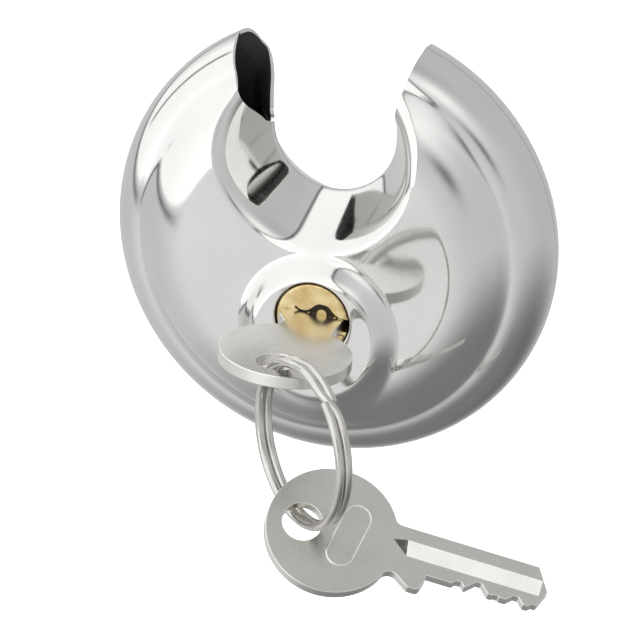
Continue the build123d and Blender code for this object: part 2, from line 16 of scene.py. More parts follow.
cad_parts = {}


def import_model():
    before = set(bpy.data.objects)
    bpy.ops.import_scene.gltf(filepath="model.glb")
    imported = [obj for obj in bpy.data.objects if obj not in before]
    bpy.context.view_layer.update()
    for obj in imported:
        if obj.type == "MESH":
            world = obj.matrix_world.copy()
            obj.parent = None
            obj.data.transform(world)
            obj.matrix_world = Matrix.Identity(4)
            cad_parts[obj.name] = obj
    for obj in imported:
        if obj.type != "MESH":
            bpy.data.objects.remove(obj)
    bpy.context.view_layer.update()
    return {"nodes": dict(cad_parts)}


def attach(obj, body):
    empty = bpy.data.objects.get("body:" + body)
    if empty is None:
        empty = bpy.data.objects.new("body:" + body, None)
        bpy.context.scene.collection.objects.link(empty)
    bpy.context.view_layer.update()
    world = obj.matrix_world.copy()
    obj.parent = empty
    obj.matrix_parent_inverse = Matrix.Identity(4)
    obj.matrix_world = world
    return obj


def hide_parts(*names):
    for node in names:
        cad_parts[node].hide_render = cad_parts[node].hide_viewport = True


MM = 0.001
LOG = logging.getLogger("disc_padlock")


class Side(Enum):
    """Which half of the disc a stamped shell is: the sign of its Y side."""

    FRONT = -1
    REAR = 1


class Body(Enum):
    """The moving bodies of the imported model, by their names in the record."""

    CASE = "case"
    PLUG = "plug_and_key"
    SHACKLE = "shackle_bar"
    RING = "ring"
    SPARE = "spare"


def linear(code: str) -> tuple[float, float, float, float]:
    """Turns a display colour into the linear colour that shaders use.

    Args:
        code: Six hexadecimal digits, red, green and blue.

    Returns:
        Linear red, green, blue and an alpha of one.
    """
    channels = [int(code[i : i + 2], 16) / 255 for i in (0, 2, 4)]
    straight = [c / 12.92 if c <= 0.04045 else ((c + 0.055) / 1.055) ** 2.4 for c in channels]
    return (*straight, 1.0)


def put(
    tree: bpy.types.NodeTree,
    kind: str,
    inputs: dict[str | int, object] | None = None,
    **settings: object,
) -> bpy.types.Node:
    """Adds one node with its settings, and links or sets its inputs.

    Args:
        tree: The node tree that gets the node.
        kind: The node's type name.
        inputs: Input name or number, to a value to set, a socket to link or a node whose
            first live output is linked.
        **settings: Properties of the node itself.

    Returns:
        The new node.
    """
    node = tree.nodes.new(kind)
    for name, value in settings.items():
        setattr(node, name, value)
    for name, value in (inputs or {}).items():
        if isinstance(value, bpy.types.Node):
            value = next(socket for socket in value.outputs if socket.enabled)
        if isinstance(value, bpy.types.NodeSocket):
            tree.links.new(value, node.inputs[name])
        else:
            node.inputs[name].default_value = value
    return node


# --- finishes ---


def blank_material(name: str) -> tuple[bpy.types.Material, bpy.types.NodeTree]:
    """Makes a material whose node tree is still empty.

    Args:
        name: Name of the material.

    Returns:
        The material and its tree.
    """
    made = bpy.data.materials.new(name)
    made.use_nodes = True
    made.node_tree.nodes.clear()
    return made, made.node_tree


@dataclass(frozen=True)
class MetalFinish:
    """A bare metal: its colour, its gloss and the marks left by how it was made.

    Attributes:
        name: Name of the material.
        shade: Colour of the clean metal.
        tint: Colour where handling or the tool has dulled it.
        gloss: Roughness of the smoothest places.
        haze: Roughness added where it is most worn.
        mottle: Size of the slow variation, mm.
        grain: Spacing of the tool's lines, mm.
        grain_depth: Height of those lines, mm.
        stretch: How much longer than wide the lines are.
        ripple: Width of the press's gentle waves, mm, with no waves at zero.
        ripple_depth: Height of those waves, mm.
        metallic: How far bare metal shows, from 0 to 1.
    """

    name: str
    shade: str
    tint: str
    gloss: float
    haze: float
    mottle: float = 9.0
    grain: float = 0.25
    grain_depth: float = 0.0006
    stretch: float = 40.0
    ripple: float = 0.0
    ripple_depth: float = 0.0
    metallic: float = 1.0

    def material(self) -> bpy.types.Material:
        """Builds the procedural material.

        Returns:
            A metal with its own colour, roughness and surface marks.
        """
        made, tree = blank_material(self.name)
        place = put(tree, "ShaderNodeTexCoord").outputs["Object"]
        slow = put(
            tree,
            "ShaderNodeTexNoise",
            {"Vector": place, "Scale": 1 / (self.mottle * MM), "Detail": 3.0, "Roughness": 0.55},
        )
        # Noise keeps to the middle of its range, so that part is stretched over the whole.
        patches = put(
            tree, "ShaderNodeMapRange", {"Value": slow, "From Min": 0.35, "From Max": 0.7}
        )
        lay = put(
            tree, "ShaderNodeMapping", {"Vector": place, "Scale": (1 / self.stretch, 1.0, 1.0)}
        )
        lines = put(
            tree,
            "ShaderNodeTexNoise",
            {"Vector": lay, "Scale": 1 / (self.grain * MM), "Detail": 2.0},
        )
        shade = put(
            tree,
            "ShaderNodeMix",
            {"Factor": patches, 6: linear(self.shade), 7: linear(self.tint)},
            data_type="RGBA",
        )
        rough = {"To Min": self.gloss, "To Max": self.gloss + self.haze}
        worn = put(
            tree, "ShaderNodeMapRange", {"Value": lines, "From Min": 0.3, "From Max": 0.75, **rough}
        )
        uneven = put(
            tree,
            "ShaderNodeMath",
            {0: patches, 1: self.haze * 0.5, 2: worn},
            operation="MULTIPLY_ADD",
        )
        bump = put(
            tree,
            "ShaderNodeBump",
            {"Height": lines, "Distance": self.grain_depth * MM, "Strength": 1.0},
        )
        if self.ripple:
            waves = put(
                tree,
                "ShaderNodeTexNoise",
                {"Vector": place, "Scale": 1 / (self.ripple * MM), "Detail": 1.0},
            )
            swell = {"Height": waves, "Distance": self.ripple_depth * MM, "Strength": 1.0}
            bump = put(tree, "ShaderNodeBump", {**swell, "Normal": bump})
        shader = put(
            tree,
            "ShaderNodeBsdfPrincipled",
            {"Base Color": shade, "Metallic": self.metallic, "Roughness": uneven, "Normal": bump},
        )
        put(tree, "ShaderNodeOutputMaterial", {"Surface": shader})
        return made


@dataclass(frozen=True)
class TurnedFinish:
    """A lathe-turned face: fine rings about an axis parallel to Y.

    Attributes:
        name: Name of the material.
        shade: Colour of the clean metal.
        tint: Colour where it has tarnished.
        axis_z: Height of the turning axis, mm.
        pitch: Spacing of the rings, mm.
        depth: Height of the rings, mm.
        stain: Size of the tarnish's patches, mm.
        gloss: Lowest roughness.
        haze: Roughness added by tarnish.
    """

    name: str
    shade: str
    tint: str
    axis_z: float
    pitch: float = 0.22
    depth: float = 0.0012
    stain: float = 2.4
    gloss: float = 0.16
    haze: float = 0.14

    def material(self) -> bpy.types.Material:
        """Builds the procedural material.

        Returns:
            A turned metal with rings in its bump and tarnish in its colour and roughness.
        """
        made, tree = blank_material(self.name)
        place = put(tree, "ShaderNodeTexCoord").outputs["Object"]
        centred = put(
            tree,
            "ShaderNodeVectorMath",
            {0: place, 1: (0.0, 0.0, self.axis_z * MM)},
            operation="SUBTRACT",
        )
        flat = put(
            tree, "ShaderNodeVectorMath", {0: centred, 1: (1.0, 0.0, 1.0)}, operation="MULTIPLY"
        )
        radius = put(tree, "ShaderNodeVectorMath", {0: flat}, operation="LENGTH")
        turns = put(
            tree,
            "ShaderNodeMath",
            {0: radius, 1: 2 * math.pi / (self.pitch * MM)},
            operation="MULTIPLY",
        )
        rings = put(tree, "ShaderNodeMath", {0: turns}, operation="SINE")
        tarnish = put(
            tree,
            "ShaderNodeTexNoise",
            {"Vector": place, "Scale": 1 / (self.stain * MM), "Detail": 4.0},
        )
        patches = put(
            tree, "ShaderNodeMapRange", {"Value": tarnish, "From Min": 0.38, "From Max": 0.68}
        )
        shade = put(
            tree,
            "ShaderNodeMix",
            {"Factor": patches, 6: linear(self.shade), 7: linear(self.tint)},
            data_type="RGBA",
        )
        worn = put(
            tree,
            "ShaderNodeMapRange",
            {"Value": patches, "To Min": self.gloss, "To Max": self.gloss + self.haze},
        )
        bump = put(
            tree,
            "ShaderNodeBump",
            {"Height": rings, "Distance": self.depth * MM, "Strength": 1.0},
        )
        shader = put(
            tree,
            "ShaderNodeBsdfPrincipled",
            {"Base Color": shade, "Metallic": 1.0, "Roughness": worn, "Normal": bump},
        )
        put(tree, "ShaderNodeOutputMaterial", {"Surface": shader})
        return made


@dataclass(frozen=True)
class PaperFinish:
    """The seamless studio sheet under the object: matt, with a faint tooth.

    Attributes:
        name: Name of the material.
        shade: Colour of the sheet.
        tooth: Size of its surface grain, mm.
        tooth_depth: Height of that grain, mm.
        glow: How much paler than its own colour the camera sees it.
    """

    name: str = "studio_paper"
    shade: str = "F7F7F6"
    tooth: float = 0.6
    tooth_depth: float = 0.01
    glow: float = 0.6

    def material(self) -> bpy.types.Material:
        """Builds the procedural material.

        Returns:
            A matt pale sheet.
        """
        made, tree = blank_material(self.name)
        place = put(tree, "ShaderNodeTexCoord").outputs["Object"]
        fibre = put(
            tree,
            "ShaderNodeTexNoise",
            {"Vector": place, "Scale": 1 / (self.tooth * MM), "Detail": 2.0},
        )
        bump = put(
            tree,
            "ShaderNodeBump",
            {"Height": fibre, "Distance": self.tooth_depth * MM, "Strength": 0.4},
        )
        rays = put(tree, "ShaderNodeLightPath").outputs
        glow = put(
            tree, "ShaderNodeMath", {0: rays["Is Camera Ray"], 1: self.glow}, operation="MULTIPLY"
        )
        colour = linear(self.shade)
        pale = {"Base Color": colour, "Emission Color": colour, "Emission Strength": glow}
        shader = put(
            tree, "ShaderNodeBsdfPrincipled", {**pale, "Roughness": 0.75, "Normal": bump}
        )
        put(tree, "ShaderNodeOutputMaterial", {"Surface": shader})
        return made


# --- meshes ---


def link_mesh(name: str, mesh: bpy.types.Mesh) -> bpy.types.Object:
    """Puts a mesh into the scene as an object at the origin.

    Args:
        name: Name of the piece.
        mesh: Its mesh.

    Returns:
        The linked object.
    """
    piece = bpy.data.objects.new(name, mesh)
    bpy.context.scene.collection.objects.link(piece)
    return piece


def new_piece(
    name: str,
    points: Sequence[Sequence[float]],
    faces: Sequence[Sequence[int]],
    edges: Sequence[Sequence[int]] = (),
) -> bpy.types.Object:
    """Makes a mesh object at the origin from points in millimetres.

    Args:
        name: Name of the piece.
        points: Points, mm.
        faces: Faces as point numbers.
        edges: Loose edges as point numbers.

    Returns:
        The linked object.
    """
    mesh = bpy.data.meshes.new(name)
    mesh.from_pydata((np.asarray(points, dtype=float) * MM).tolist(), list(edges), list(faces))
    mesh.update()
    return link_mesh(name, mesh)


def settle(piece: bpy.types.Object, crease: float = 35.0) -> None:
    """Turns a piece's modifiers into one plain mesh and shades it.

    Args:
        piece: The piece, with its modifiers set.
        crease: Angle in degrees above which an edge stays sharp.
    """
    seen = bpy.context.evaluated_depsgraph_get()
    mesh = bpy.data.meshes.new_from_object(piece.evaluated_get(seen), depsgraph=seen)
    piece.modifiers.clear()
    old = piece.data
    piece.data = mesh
    mesh.name = piece.name
    bpy.data.meshes.remove(old)
    mesh.shade_smooth()
    mesh.set_sharp_from_angle(angle=math.radians(crease))


def weld(mesh: bpy.types.Mesh, gap: float, toward: int) -> None:
    """Merges points that lie within a gap and turns the faces to one side.

    Args:
        mesh: The mesh to clean.
        gap: Distance, mm.
        toward: Sign of the Y side that the faces must look to.
    """
    work = bmesh.new()
    work.from_mesh(mesh)
    bmesh.ops.remove_doubles(work, verts=work.verts, dist=gap * MM)
    bmesh.ops.dissolve_degenerate(work, edges=work.edges, dist=gap * MM / 4)
    bmesh.ops.recalc_face_normals(work, faces=work.faces)
    lean = sum(face.normal.y * face.calc_area() for face in work.faces)
    if lean * toward < 0:
        bmesh.ops.reverse_faces(work, faces=work.faces)
    work.to_mesh(mesh)
    work.free()


def smooth_share(share: float | np.ndarray) -> float | np.ndarray:
    """Eases a share, or many, between 0 and 1 at both ends."""
    return share * share * (3 - 2 * share)


# --- stamped shells ---


def soft_max(a: np.ndarray, b: np.ndarray, blend: float) -> np.ndarray:
    """The greater of two heights, with the corner between them rounded."""
    return np.maximum(a, b) + np.maximum(blend - np.abs(a - b), 0) ** 2 / (4 * blend)


def soft_min(a: np.ndarray, b: np.ndarray, blend: float) -> np.ndarray:
    """The lesser of two heights, with the corner between them rounded."""
    return np.minimum(a, b) - np.maximum(blend - np.abs(a - b), 0) ** 2 / (4 * blend)


@dataclass(frozen=True)
class BossHole:
    """The hole in the boss's top, which the boss's rings give way to.

    Attributes:
        z: Height of its centre, mm.
        radius: Radius that the rings end on, mm.
        margin: How far the boss's last ring stays clear of it, mm.
        rings: Number of rings between that one and the hole.
    """

    z: float
    radius: float
    margin: float
    rings: int


@dataclass
class StampedShell:
    """One half of the disc, skinned as a single drawn and polished sheet.

    The skin is a height above the seam plane. It is laid out on rays from the throat's
    centre, and the raised boss and the holes get rings of their own.

    Attributes:
        name: Name of the piece.
        side: Which half it is.
        boss_round: Rounding of the boss's upper edge, mm.
        drains: Drain holes as x and z of their centres, mm.
        plug_hole: Whether the boss is open for the plug.
        disc: Radius of the disc, mm.
        sheet: Thickness of the sheet, mm.
        face: Height of the flat face, mm.
        face_flat: Radius where the face begins to fall away, mm.
        crease: Radius of the crease inside the rim's bead, mm.
        bead_width: Width of the bead from its crest to the disc's edge, mm.
        bead_height: Height of the bead's crest, mm.
        dome_past: How far the dome's curve runs on beneath the bead, mm.
        crease_blend: Rounding of the crease, mm.
        horn_crease_blend: Rounding added to it at the horns' tips, mm.
        horn_lip_blend: Rounding added to the throat's lip at the horns' tips, mm.
        horn_low: Height where the added rounding begins, mm.
        horn_high: Height where it is complete, mm.
        throat_z: Height of the throat's centre, mm.
        throat: Radius of the throat at the seam, mm.
        throat_round: Rounding where the throat's wall leaves the seam, mm.
        throat_draft: Flare of that wall, degrees.
        lip_blend: Rounding between the wall and the face, mm.
        sill_z: Height where the mouth's straight sides begin, mm.
        sill_half: Half the mouth's width there, mm.
        sill_round: Angle over which the throat's circle becomes a straight side, degrees.
        tip_half: Half the mouth's width at the horns' tips, mm.
        tip_z: Height of the horns' tips, mm.
        boss_z: Height of the boss's centre, mm.
        boss_base: Radius of the boss's foot, mm.
        boss_top: Radius of its flat top, mm.
        boss_height: Height of its top above the seam, mm.
        base_blend: Rounding at its foot, mm.
        patch_z: Height of the centre of the round patch that is meshed in rings, mm.
        patch: Radius of that patch, mm.
        collar: Radius of the boss's outermost ring, mm.
        collar_rings: Number of rings between the patch's edge and that one.
        boss_rings: Number of rings on the boss.
        boss_last: How far inside the top's edge the last of them lies, mm.
        boss_samples: Samples of the boss's profile, which its rings are picked from.
        plug_z: Height of the plug's axis, mm.
        plug_opening: Radius of the plug's hole, mm.
        hole_round: Rounding of the hole's edge, mm.
        hole_wall: Depth of its straight wall, mm.
        bend_steps: Number of steps over its rounded edge.
        hub_rise: How far the drain in the boss lies above the boss's centre, mm.
        ring_gap: Least distance between rings that are pushed clear of a hole, mm.
        rim_fade: Width over which the sheet is drawn thin towards the plug's hole, mm.
        rim_thin: Share of the sheet's thickness left at that hole.
        mouth_fade: Width over which it is drawn thin towards the mouth, mm.
        mouth_thin: Share of the thickness left at the mouth.
        wall_reach: How far out from the hole its upright wall is painted dark as shade, mm.
        wall_lean: Sine of the steepest lean that counts as upright.
        drain: Radius of the drain holes, mm.
        seam_gap: Half the hairline between the two shells, mm.
        rays: Number of rays about the throat.
        ray_samples: Samples of a ray's profile, which its points are picked from.
        steps: Number of points on a ray.
        turn_weight: How strongly a bend draws the points together.
        turn_window: Over how many samples that pull is spread.
    """

    name: str
    side: Side
    boss_round: float
    drains: tuple[tuple[float, float], ...] = ()
    plug_hole: bool = False
    disc: float = 35.0
    sheet: float = 1.2
    face: float = 11.8
    face_flat: float = 20.5
    crease: float = 29.4
    bead_width: float = 5.6
    bead_height: float = 7.2
    dome_past: float = 2.5
    crease_blend: float = 0.95
    horn_crease_blend: float = 1.6
    horn_lip_blend: float = 3.8
    horn_low: float = 12.0
    horn_high: float = 26.0
    throat_z: float = 16.9
    throat: float = 9.9
    throat_round: float = 2.2
    throat_draft: float = 25.0
    lip_blend: float = 3.0
    sill_z: float = 18.4
    sill_half: float = 10.6
    sill_round: float = 6.0
    tip_half: float = 15.0
    tip_z: float = 31.62
    boss_z: float = -12.2
    boss_base: float = 12.4
    boss_top: float = 9.9
    boss_height: float = 14.6
    base_blend: float = 0.9
    patch_z: float = -13.6
    patch: float = 14.9
    collar: float = 13.0
    collar_rings: int = 9
    boss_rings: int = 26
    boss_last: float = 1.2
    boss_samples: int = 900
    plug_z: float = -9.0
    plug_opening: float = 6.0
    hole_round: float = 0.25
    hole_wall: float = 1.0
    bend_steps: int = 5
    hub_rise: float = 7.2
    ring_gap: float = 0.06
    rim_fade: float = 3.0
    rim_thin: float = 0.1
    mouth_fade: float = 6.0
    mouth_thin: float = 0.5
    wall_reach: float = 0.06
    wall_lean: float = 0.3
    drain: float = 1.5
    seam_gap: float = 0.04
    rays: int = 400
    ray_samples: int = 1500
    steps: int = 92
    turn_weight: float = 2.6
    turn_window: int = 25

    def body_height(self, x: np.ndarray, z: np.ndarray) -> np.ndarray:
        """Height of the disc, its bead and its throat, without the boss.

        Args:
            x: Positions across, mm.
            z: Positions up, mm.

        Returns:
            Heights above the seam plane, mm.
        """
        reach = np.hypot(x, z)
        horn = smooth_share(np.clip((z - self.horn_low) / (self.horn_high - self.horn_low), 0, 1))
        fall = self.face - self.bead_height
        run = self.crease - self.face_flat
        bend = (run**2 + fall**2) / (2 * fall)
        past = np.clip(reach - self.face_flat, 0, run + self.dome_past)
        dome = self.face - bend + np.sqrt(np.maximum(bend**2 - past**2, 0))
        out = np.clip((reach - self.crease) / self.bead_width, -1, 1)
        bead = self.bead_height * np.sqrt(1 - out**2)
        on_bead = reach > self.crease + self.dome_past
        crease_blend = self.crease_blend + self.horn_crease_blend * horn
        skin = soft_max(np.where(on_bead, 0, dome), bead, crease_blend)
        skin = np.where(on_bead, bead, skin)
        gap = np.hypot(x, z - self.throat_z)
        crest = self.throat + self.throat_round
        lean = math.radians(self.throat_draft)
        foot = crest - self.throat_round * math.cos(lean)
        toe = np.sqrt(np.maximum(self.throat_round**2 - (crest - gap) ** 2, 0))
        rise = self.throat_round * math.sin(lean) + (gap - foot) / math.tan(lean)
        lip_blend = self.lip_blend + self.horn_lip_blend * horn
        return soft_min(skin, np.where(gap < foot, toe, rise), lip_blend)

    def height(self, x: np.ndarray, z: np.ndarray) -> np.ndarray:
        """Height of the whole skin, with the boss inside its own patch.

        Args:
            x: Positions across, mm.
            z: Positions up, mm.

        Returns:
            Heights above the seam plane, mm.
        """
        skin = self.body_height(x, z)
        reach = np.hypot(x, z - self.boss_z)
        slope = (self.boss_height - self.face) / (self.boss_base - self.boss_top)
        flank = self.face + (self.boss_base - reach) * slope
        top = np.full_like(skin, self.boss_height)
        raised = soft_max(skin, soft_min(top, flank, self.boss_round), self.base_blend)
        in_patch = np.hypot(x, z - self.patch_z) < self.patch + 0.001
        return np.where(in_patch, raised, skin)

    def spread(self, away: np.ndarray, high: np.ndarray, count: int) -> np.ndarray:
        """Picks points on a profile, closer together where it bends.

        Args:
            away: Distances along the ground, mm.
            high: Heights there, mm.
            count: Number of points wanted.

        Returns:
            The distances of the points that were picked.
        """
        run, rise = np.diff(away), np.diff(high)
        length = np.hypot(run, rise)
        turn = np.abs(np.diff(np.arctan2(rise, run), prepend=0.0))
        turn[0] = 0
        window = np.ones(self.turn_window) / self.turn_window
        weight = length + self.turn_weight * np.convolve(turn, window, mode="same")
        total = np.concatenate([[0], np.cumsum(weight)])
        return np.interp(np.linspace(0, total[-1], count), total, away)

    def mouth_lean(self) -> float:
        """How far the mouth's straight sides lean outward for each millimetre up."""
        return (self.tip_half - self.sill_half) / (self.tip_z - self.sill_z)

    def ray_start(self, angle: float) -> float:
        """Finds the shell's inner edge on a ray.

        Args:
            angle: Direction of the ray from the throat's centre, radians.

        Returns:
            Distance of the edge from the throat's centre, mm.
        """
        above = math.asin(math.sin(angle))
        sill = math.atan2(self.sill_z - self.throat_z, self.sill_half)
        lean = self.mouth_lean()
        base = self.sill_half - lean * (self.sill_z - self.throat_z)
        line = base / (math.cos(max(above, sill)) - lean * math.sin(max(above, sill)))
        share = min(max((above - sill) / math.radians(self.sill_round) + 1, 0.0), 1.0)
        return self.throat + (line - self.throat) * smooth_share(share)

    def ray_end(self, angle: float) -> float:
        """Distance from the throat's centre to the disc's edge on a ray."""
        drop = self.throat_z * math.sin(angle)
        return -drop + math.sqrt(self.disc**2 - (self.throat_z * math.cos(angle)) ** 2)

    def ray_angles(self) -> list[float]:
        """Angles of the rays, from the right horn's tip round to the left one's."""
        tip = math.atan2(self.tip_z - self.throat_z, self.tip_half)
        return list(np.linspace(tip, -math.pi - tip, self.rays))

    def lay_out(self) -> tuple[np.ndarray, list[tuple[int, ...]]]:
        """Lays the main grid and cuts the boss and the holes out of it.

        Returns:
            Ground points as x and z, and faces as point numbers.
        """
        ground = []
        for angle in self.ray_angles():
            low, high = self.ray_start(angle), self.ray_end(angle)
            ease = 0.5 - 0.5 * np.cos(np.linspace(0, math.pi, self.ray_samples))
            away = low + (max(high, low + 0.001) - low) * ease
            x, z = away * math.cos(angle), self.throat_z + away * math.sin(angle)
            picked = self.spread(away, self.body_height(x, z), self.steps)
            across, up = picked * math.cos(angle), self.throat_z + picked * math.sin(angle)
            ground.append(np.column_stack([across, up]))
        flat = np.array(ground).reshape(-1, 2)
        steps = self.steps
        faces = [
            (i * steps + j, i * steps + j + 1, (i + 1) * steps + j + 1, (i + 1) * steps + j)
            for i in range(self.rays - 1)
            for j in range(steps - 1)
        ]
        cuts = [((0.0, self.patch_z), self.patch)] + [(spot, self.drain) for spot in self.drains]
        for centre, radius in cuts:
            flat, faces = self.cut_hole(flat, faces, centre, radius)
        return flat, faces

    @staticmethod
    def cut_hole(
        ground: np.ndarray,
        faces: list[tuple[int, ...]],
        centre: tuple[float, float],
        radius: float,
    ) -> tuple[np.ndarray, list[tuple[int, ...]]]:
        """Opens a round hole and moves the points beside it onto its circle.

        Args:
            ground: Ground points.
            faces: Faces as point numbers.
            centre: Centre of the hole, mm.
            radius: Radius of the hole, mm.

        Returns:
            The moved points and the faces that are left.
        """
        offset = ground - np.array(centre)
        inside = np.hypot(offset[:, 0], offset[:, 1]) < radius
        left = [face for face in faces if not all(inside[p] for p in face)]
        edge = sorted({p for face in left for p in face if inside[p]})
        moved = ground.copy()
        unit = offset[edge] / np.hypot(offset[edge, 0], offset[edge, 1])[:, None]
        moved[edge] = np.array(centre) + unit * radius
        return moved, left

    def boss_hole(self) -> BossHole:
        """Tells which hole the boss's rings give way to.

        Returns:
            The plug's hole on the front, and the drain above the boss's centre on the rear.
        """
        if self.plug_hole:
            rim = self.plug_opening + self.hole_round
            return BossHole(z=self.plug_z, radius=rim, margin=0.1, rings=3)
        drain_z = self.boss_z + self.hub_rise
        return BossHole(z=drain_z, radius=self.drain, margin=0.5, rings=13)

    def rolled_edge(self, rim: np.ndarray, aside: np.ndarray) -> list[np.ndarray]:
        """Runs one spoke over the rounded edge of the plug's hole and down its wall.

        Args:
            rim: The spoke's point on the rim, as x and z, mm.
            aside: Unit vector from the hole's centre towards it.

        Returns:
            Points as x, z and height.
        """
        centre = np.array([0.0, self.plug_z])
        crest = float(self.height(rim[:1], rim[1:])[0])
        points = []
        for bend in np.linspace(0, math.pi / 2, self.bend_steps + 1)[1:]:
            out = self.plug_opening + self.hole_round * (1 - math.sin(bend))
            high = crest - self.hole_round * (1 - math.cos(bend))
            points.append(np.append(centre + aside * out, high))
        floor = self.boss_height - self.hole_round - self.hole_wall
        for high in ((points[-1][2] + floor) / 2, floor):
            points.append(np.append(points[-1][:2], high))
        return points

    def spoke(self, turn: float, rings: np.ndarray, hole: BossHole) -> list[np.ndarray]:
        """Lays one spoke over the boss, from the patch's edge in to the hole.

        Args:
            turn: Angle of the spoke about the boss's centre, radians.
            rings: Radii of the boss's rings, mm.
            hole: The hole that the rings give way to.

        Returns:
            Points as x, z and height, with no height where the skin's own one holds.
        """
        way = np.array([math.cos(turn), math.sin(turn)])
        outer = np.array([0.0, self.patch_z]) + way * self.patch
        collar = np.array([0.0, self.boss_z]) + way * self.collar
        shares = np.linspace(0, 1, self.collar_rings + 1)[:-1]
        spots = [outer + (collar - outer) * share for share in shares]
        spots += [np.array([0.0, self.boss_z]) + way * radius for radius in rings]
        centre = np.array([0.0, hole.z])
        for index, spot in enumerate(spots[1:], 1):
            gap = float(np.hypot(*(spot - centre)))
            least = hole.radius + hole.margin + self.ring_gap * (len(spots) - 1 - index)
            if gap < least:
                spots[index] = centre + (spot - centre) * least / gap
        start = spots[-1]
        aside = (start - centre) / np.hypot(*(start - centre))
        rim = centre + aside * hole.radius
        shares = np.linspace(0, 1, hole.rings + 1)[1:]
        spots += [start + (rim - start) * share for share in shares]
        spoke = [np.append(spot, np.nan) for spot in spots]
        return spoke + (self.rolled_edge(rim, aside) if self.plug_hole else [])

    def patch_rings(self, turns: np.ndarray) -> np.ndarray:
        """Lays the boss out on spokes, with the hole in its top.

        Args:
            turns: Angles of the spokes about the boss's centre, radians.

        Returns:
            Points as x, z and height, spoke by spoke.
        """
        away = np.linspace(self.collar, self.boss_top - self.boss_last, self.boss_samples)
        profile = self.height(away, np.full_like(away, self.boss_z))
        rings = -self.spread(-away, profile, self.boss_rings)
        hole = self.boss_hole()
        table = np.array([self.spoke(turn, rings, hole) for turn in turns])
        heights = self.height(table[:, :, 0], table[:, :, 1])
        table[:, :, 2] = np.where(np.isnan(table[:, :, 2]), heights, table[:, :, 2])
        return table

    def build(self) -> bpy.types.Object:
        """Builds the shell's skin and gives it a wall of the sheet's thickness.

        Returns:
            The piece with its wall still a modifier, bare of materials.
        """
        ground, faces = self.lay_out()
        used = sorted({p for face in faces for p in face})
        renumber = {old: new for new, old in enumerate(used)}
        ground = ground[used]
        faces = [tuple(renumber[p] for p in face) for face in faces]
        high = np.maximum(self.height(ground[:, 0], ground[:, 1]), self.seam_gap)
        offset = ground - np.array([0.0, self.patch_z])
        rim = np.flatnonzero(np.abs(np.hypot(offset[:, 0], offset[:, 1]) - self.patch) < 1e-6)
        turns = np.arctan2(offset[rim, 1], offset[rim, 0])
        order = np.argsort(turns)
        rim, turns = rim[order], turns[order]
        table = self.patch_rings(turns)
        first = len(ground)
        deep = table.shape[1]
        extra = table[:, 1:].reshape(-1, 3)
        ground = np.vstack([ground, extra[:, :2]])
        high = np.concatenate([high, extra[:, 2]])

        def number(spoke: int, ring: int) -> int:
            """Number of a spoke's point; ring 0 is the main grid's own point on the rim."""
            spoke %= len(rim)
            return int(rim[spoke]) if ring == 0 else first + spoke * (deep - 1) + ring - 1

        faces += [
            (number(i, j), number(i + 1, j), number(i + 1, j + 1), number(i, j + 1))
            for i in range(len(rim))
            for j in range(deep - 1)
        ]
        points = np.column_stack([ground[:, 0], high * self.side.value, ground[:, 1]])
        piece = new_piece(self.name, points, faces)
        weld(piece.data, gap=0.004, toward=self.side.value)
        self.thin_the_rim(piece)
        wall = piece.modifiers.new("sheet", "SOLIDIFY")
        wall.vertex_group = "wall"
        wall.thickness = self.sheet * MM
        wall.offset = -1.0
        wall.use_even_offset = False
        # The inner face takes the second finish, whose dark colour is painted shade inside the horns.
        wall.material_offset = 1
        wall.material_offset_rim = 0
        return piece

    def thin_the_rim(self, piece: bpy.types.Object) -> None:
        """Marks how thick the sheet is: full all over, and drawn thin at the hole and the mouth.

        Args:
            piece: The skin.
        """
        group = piece.vertex_groups.new(name="wall")
        lean = self.mouth_lean()
        for point in piece.data.vertices:
            x, z = point.co.x / MM, point.co.z / MM
            gap = math.hypot(x, z - self.plug_z) - self.plug_opening
            share = min(max(gap / self.rim_fade, self.rim_thin), 1.0) if self.plug_hole else 1.0
            if z > self.throat_z:
                inset = abs(x) - self.sill_half - lean * (z - self.sill_z)
                thick = self.mouth_thin + inset / self.mouth_fade
                share = min(share, max(self.mouth_thin, thick))
            group.add([point.index], share, "REPLACE")

    def dress(self, outside: bpy.types.Material, inside: bpy.types.Material) -> bpy.types.Object:
        """Builds the shell and gives its two faces their finishes.

        Args:
            outside: Finish of the polished face.
            inside: Finish of the bare inner face, and of the plug hole's upright wall; its dark
                colour is painted shade.

        Returns:
            The finished piece.
        """
        piece = self.build()
        piece.data.materials.append(outside)
        piece.data.materials.append(inside)
        # The plug hole's upright wall takes that dark finish too: painted shade in the gap round the
        # plug.
        reach = self.plug_opening + self.wall_reach if self.plug_hole else 0.0
        for face in piece.data.polygons:
            x, z = face.center.x / MM, face.center.z / MM - self.plug_z
            if math.hypot(x, z) < reach and abs(face.normal.y) < self.wall_lean:
                face.material_index = 1
        settle(piece)
        return piece


# --- plug face and keys ---


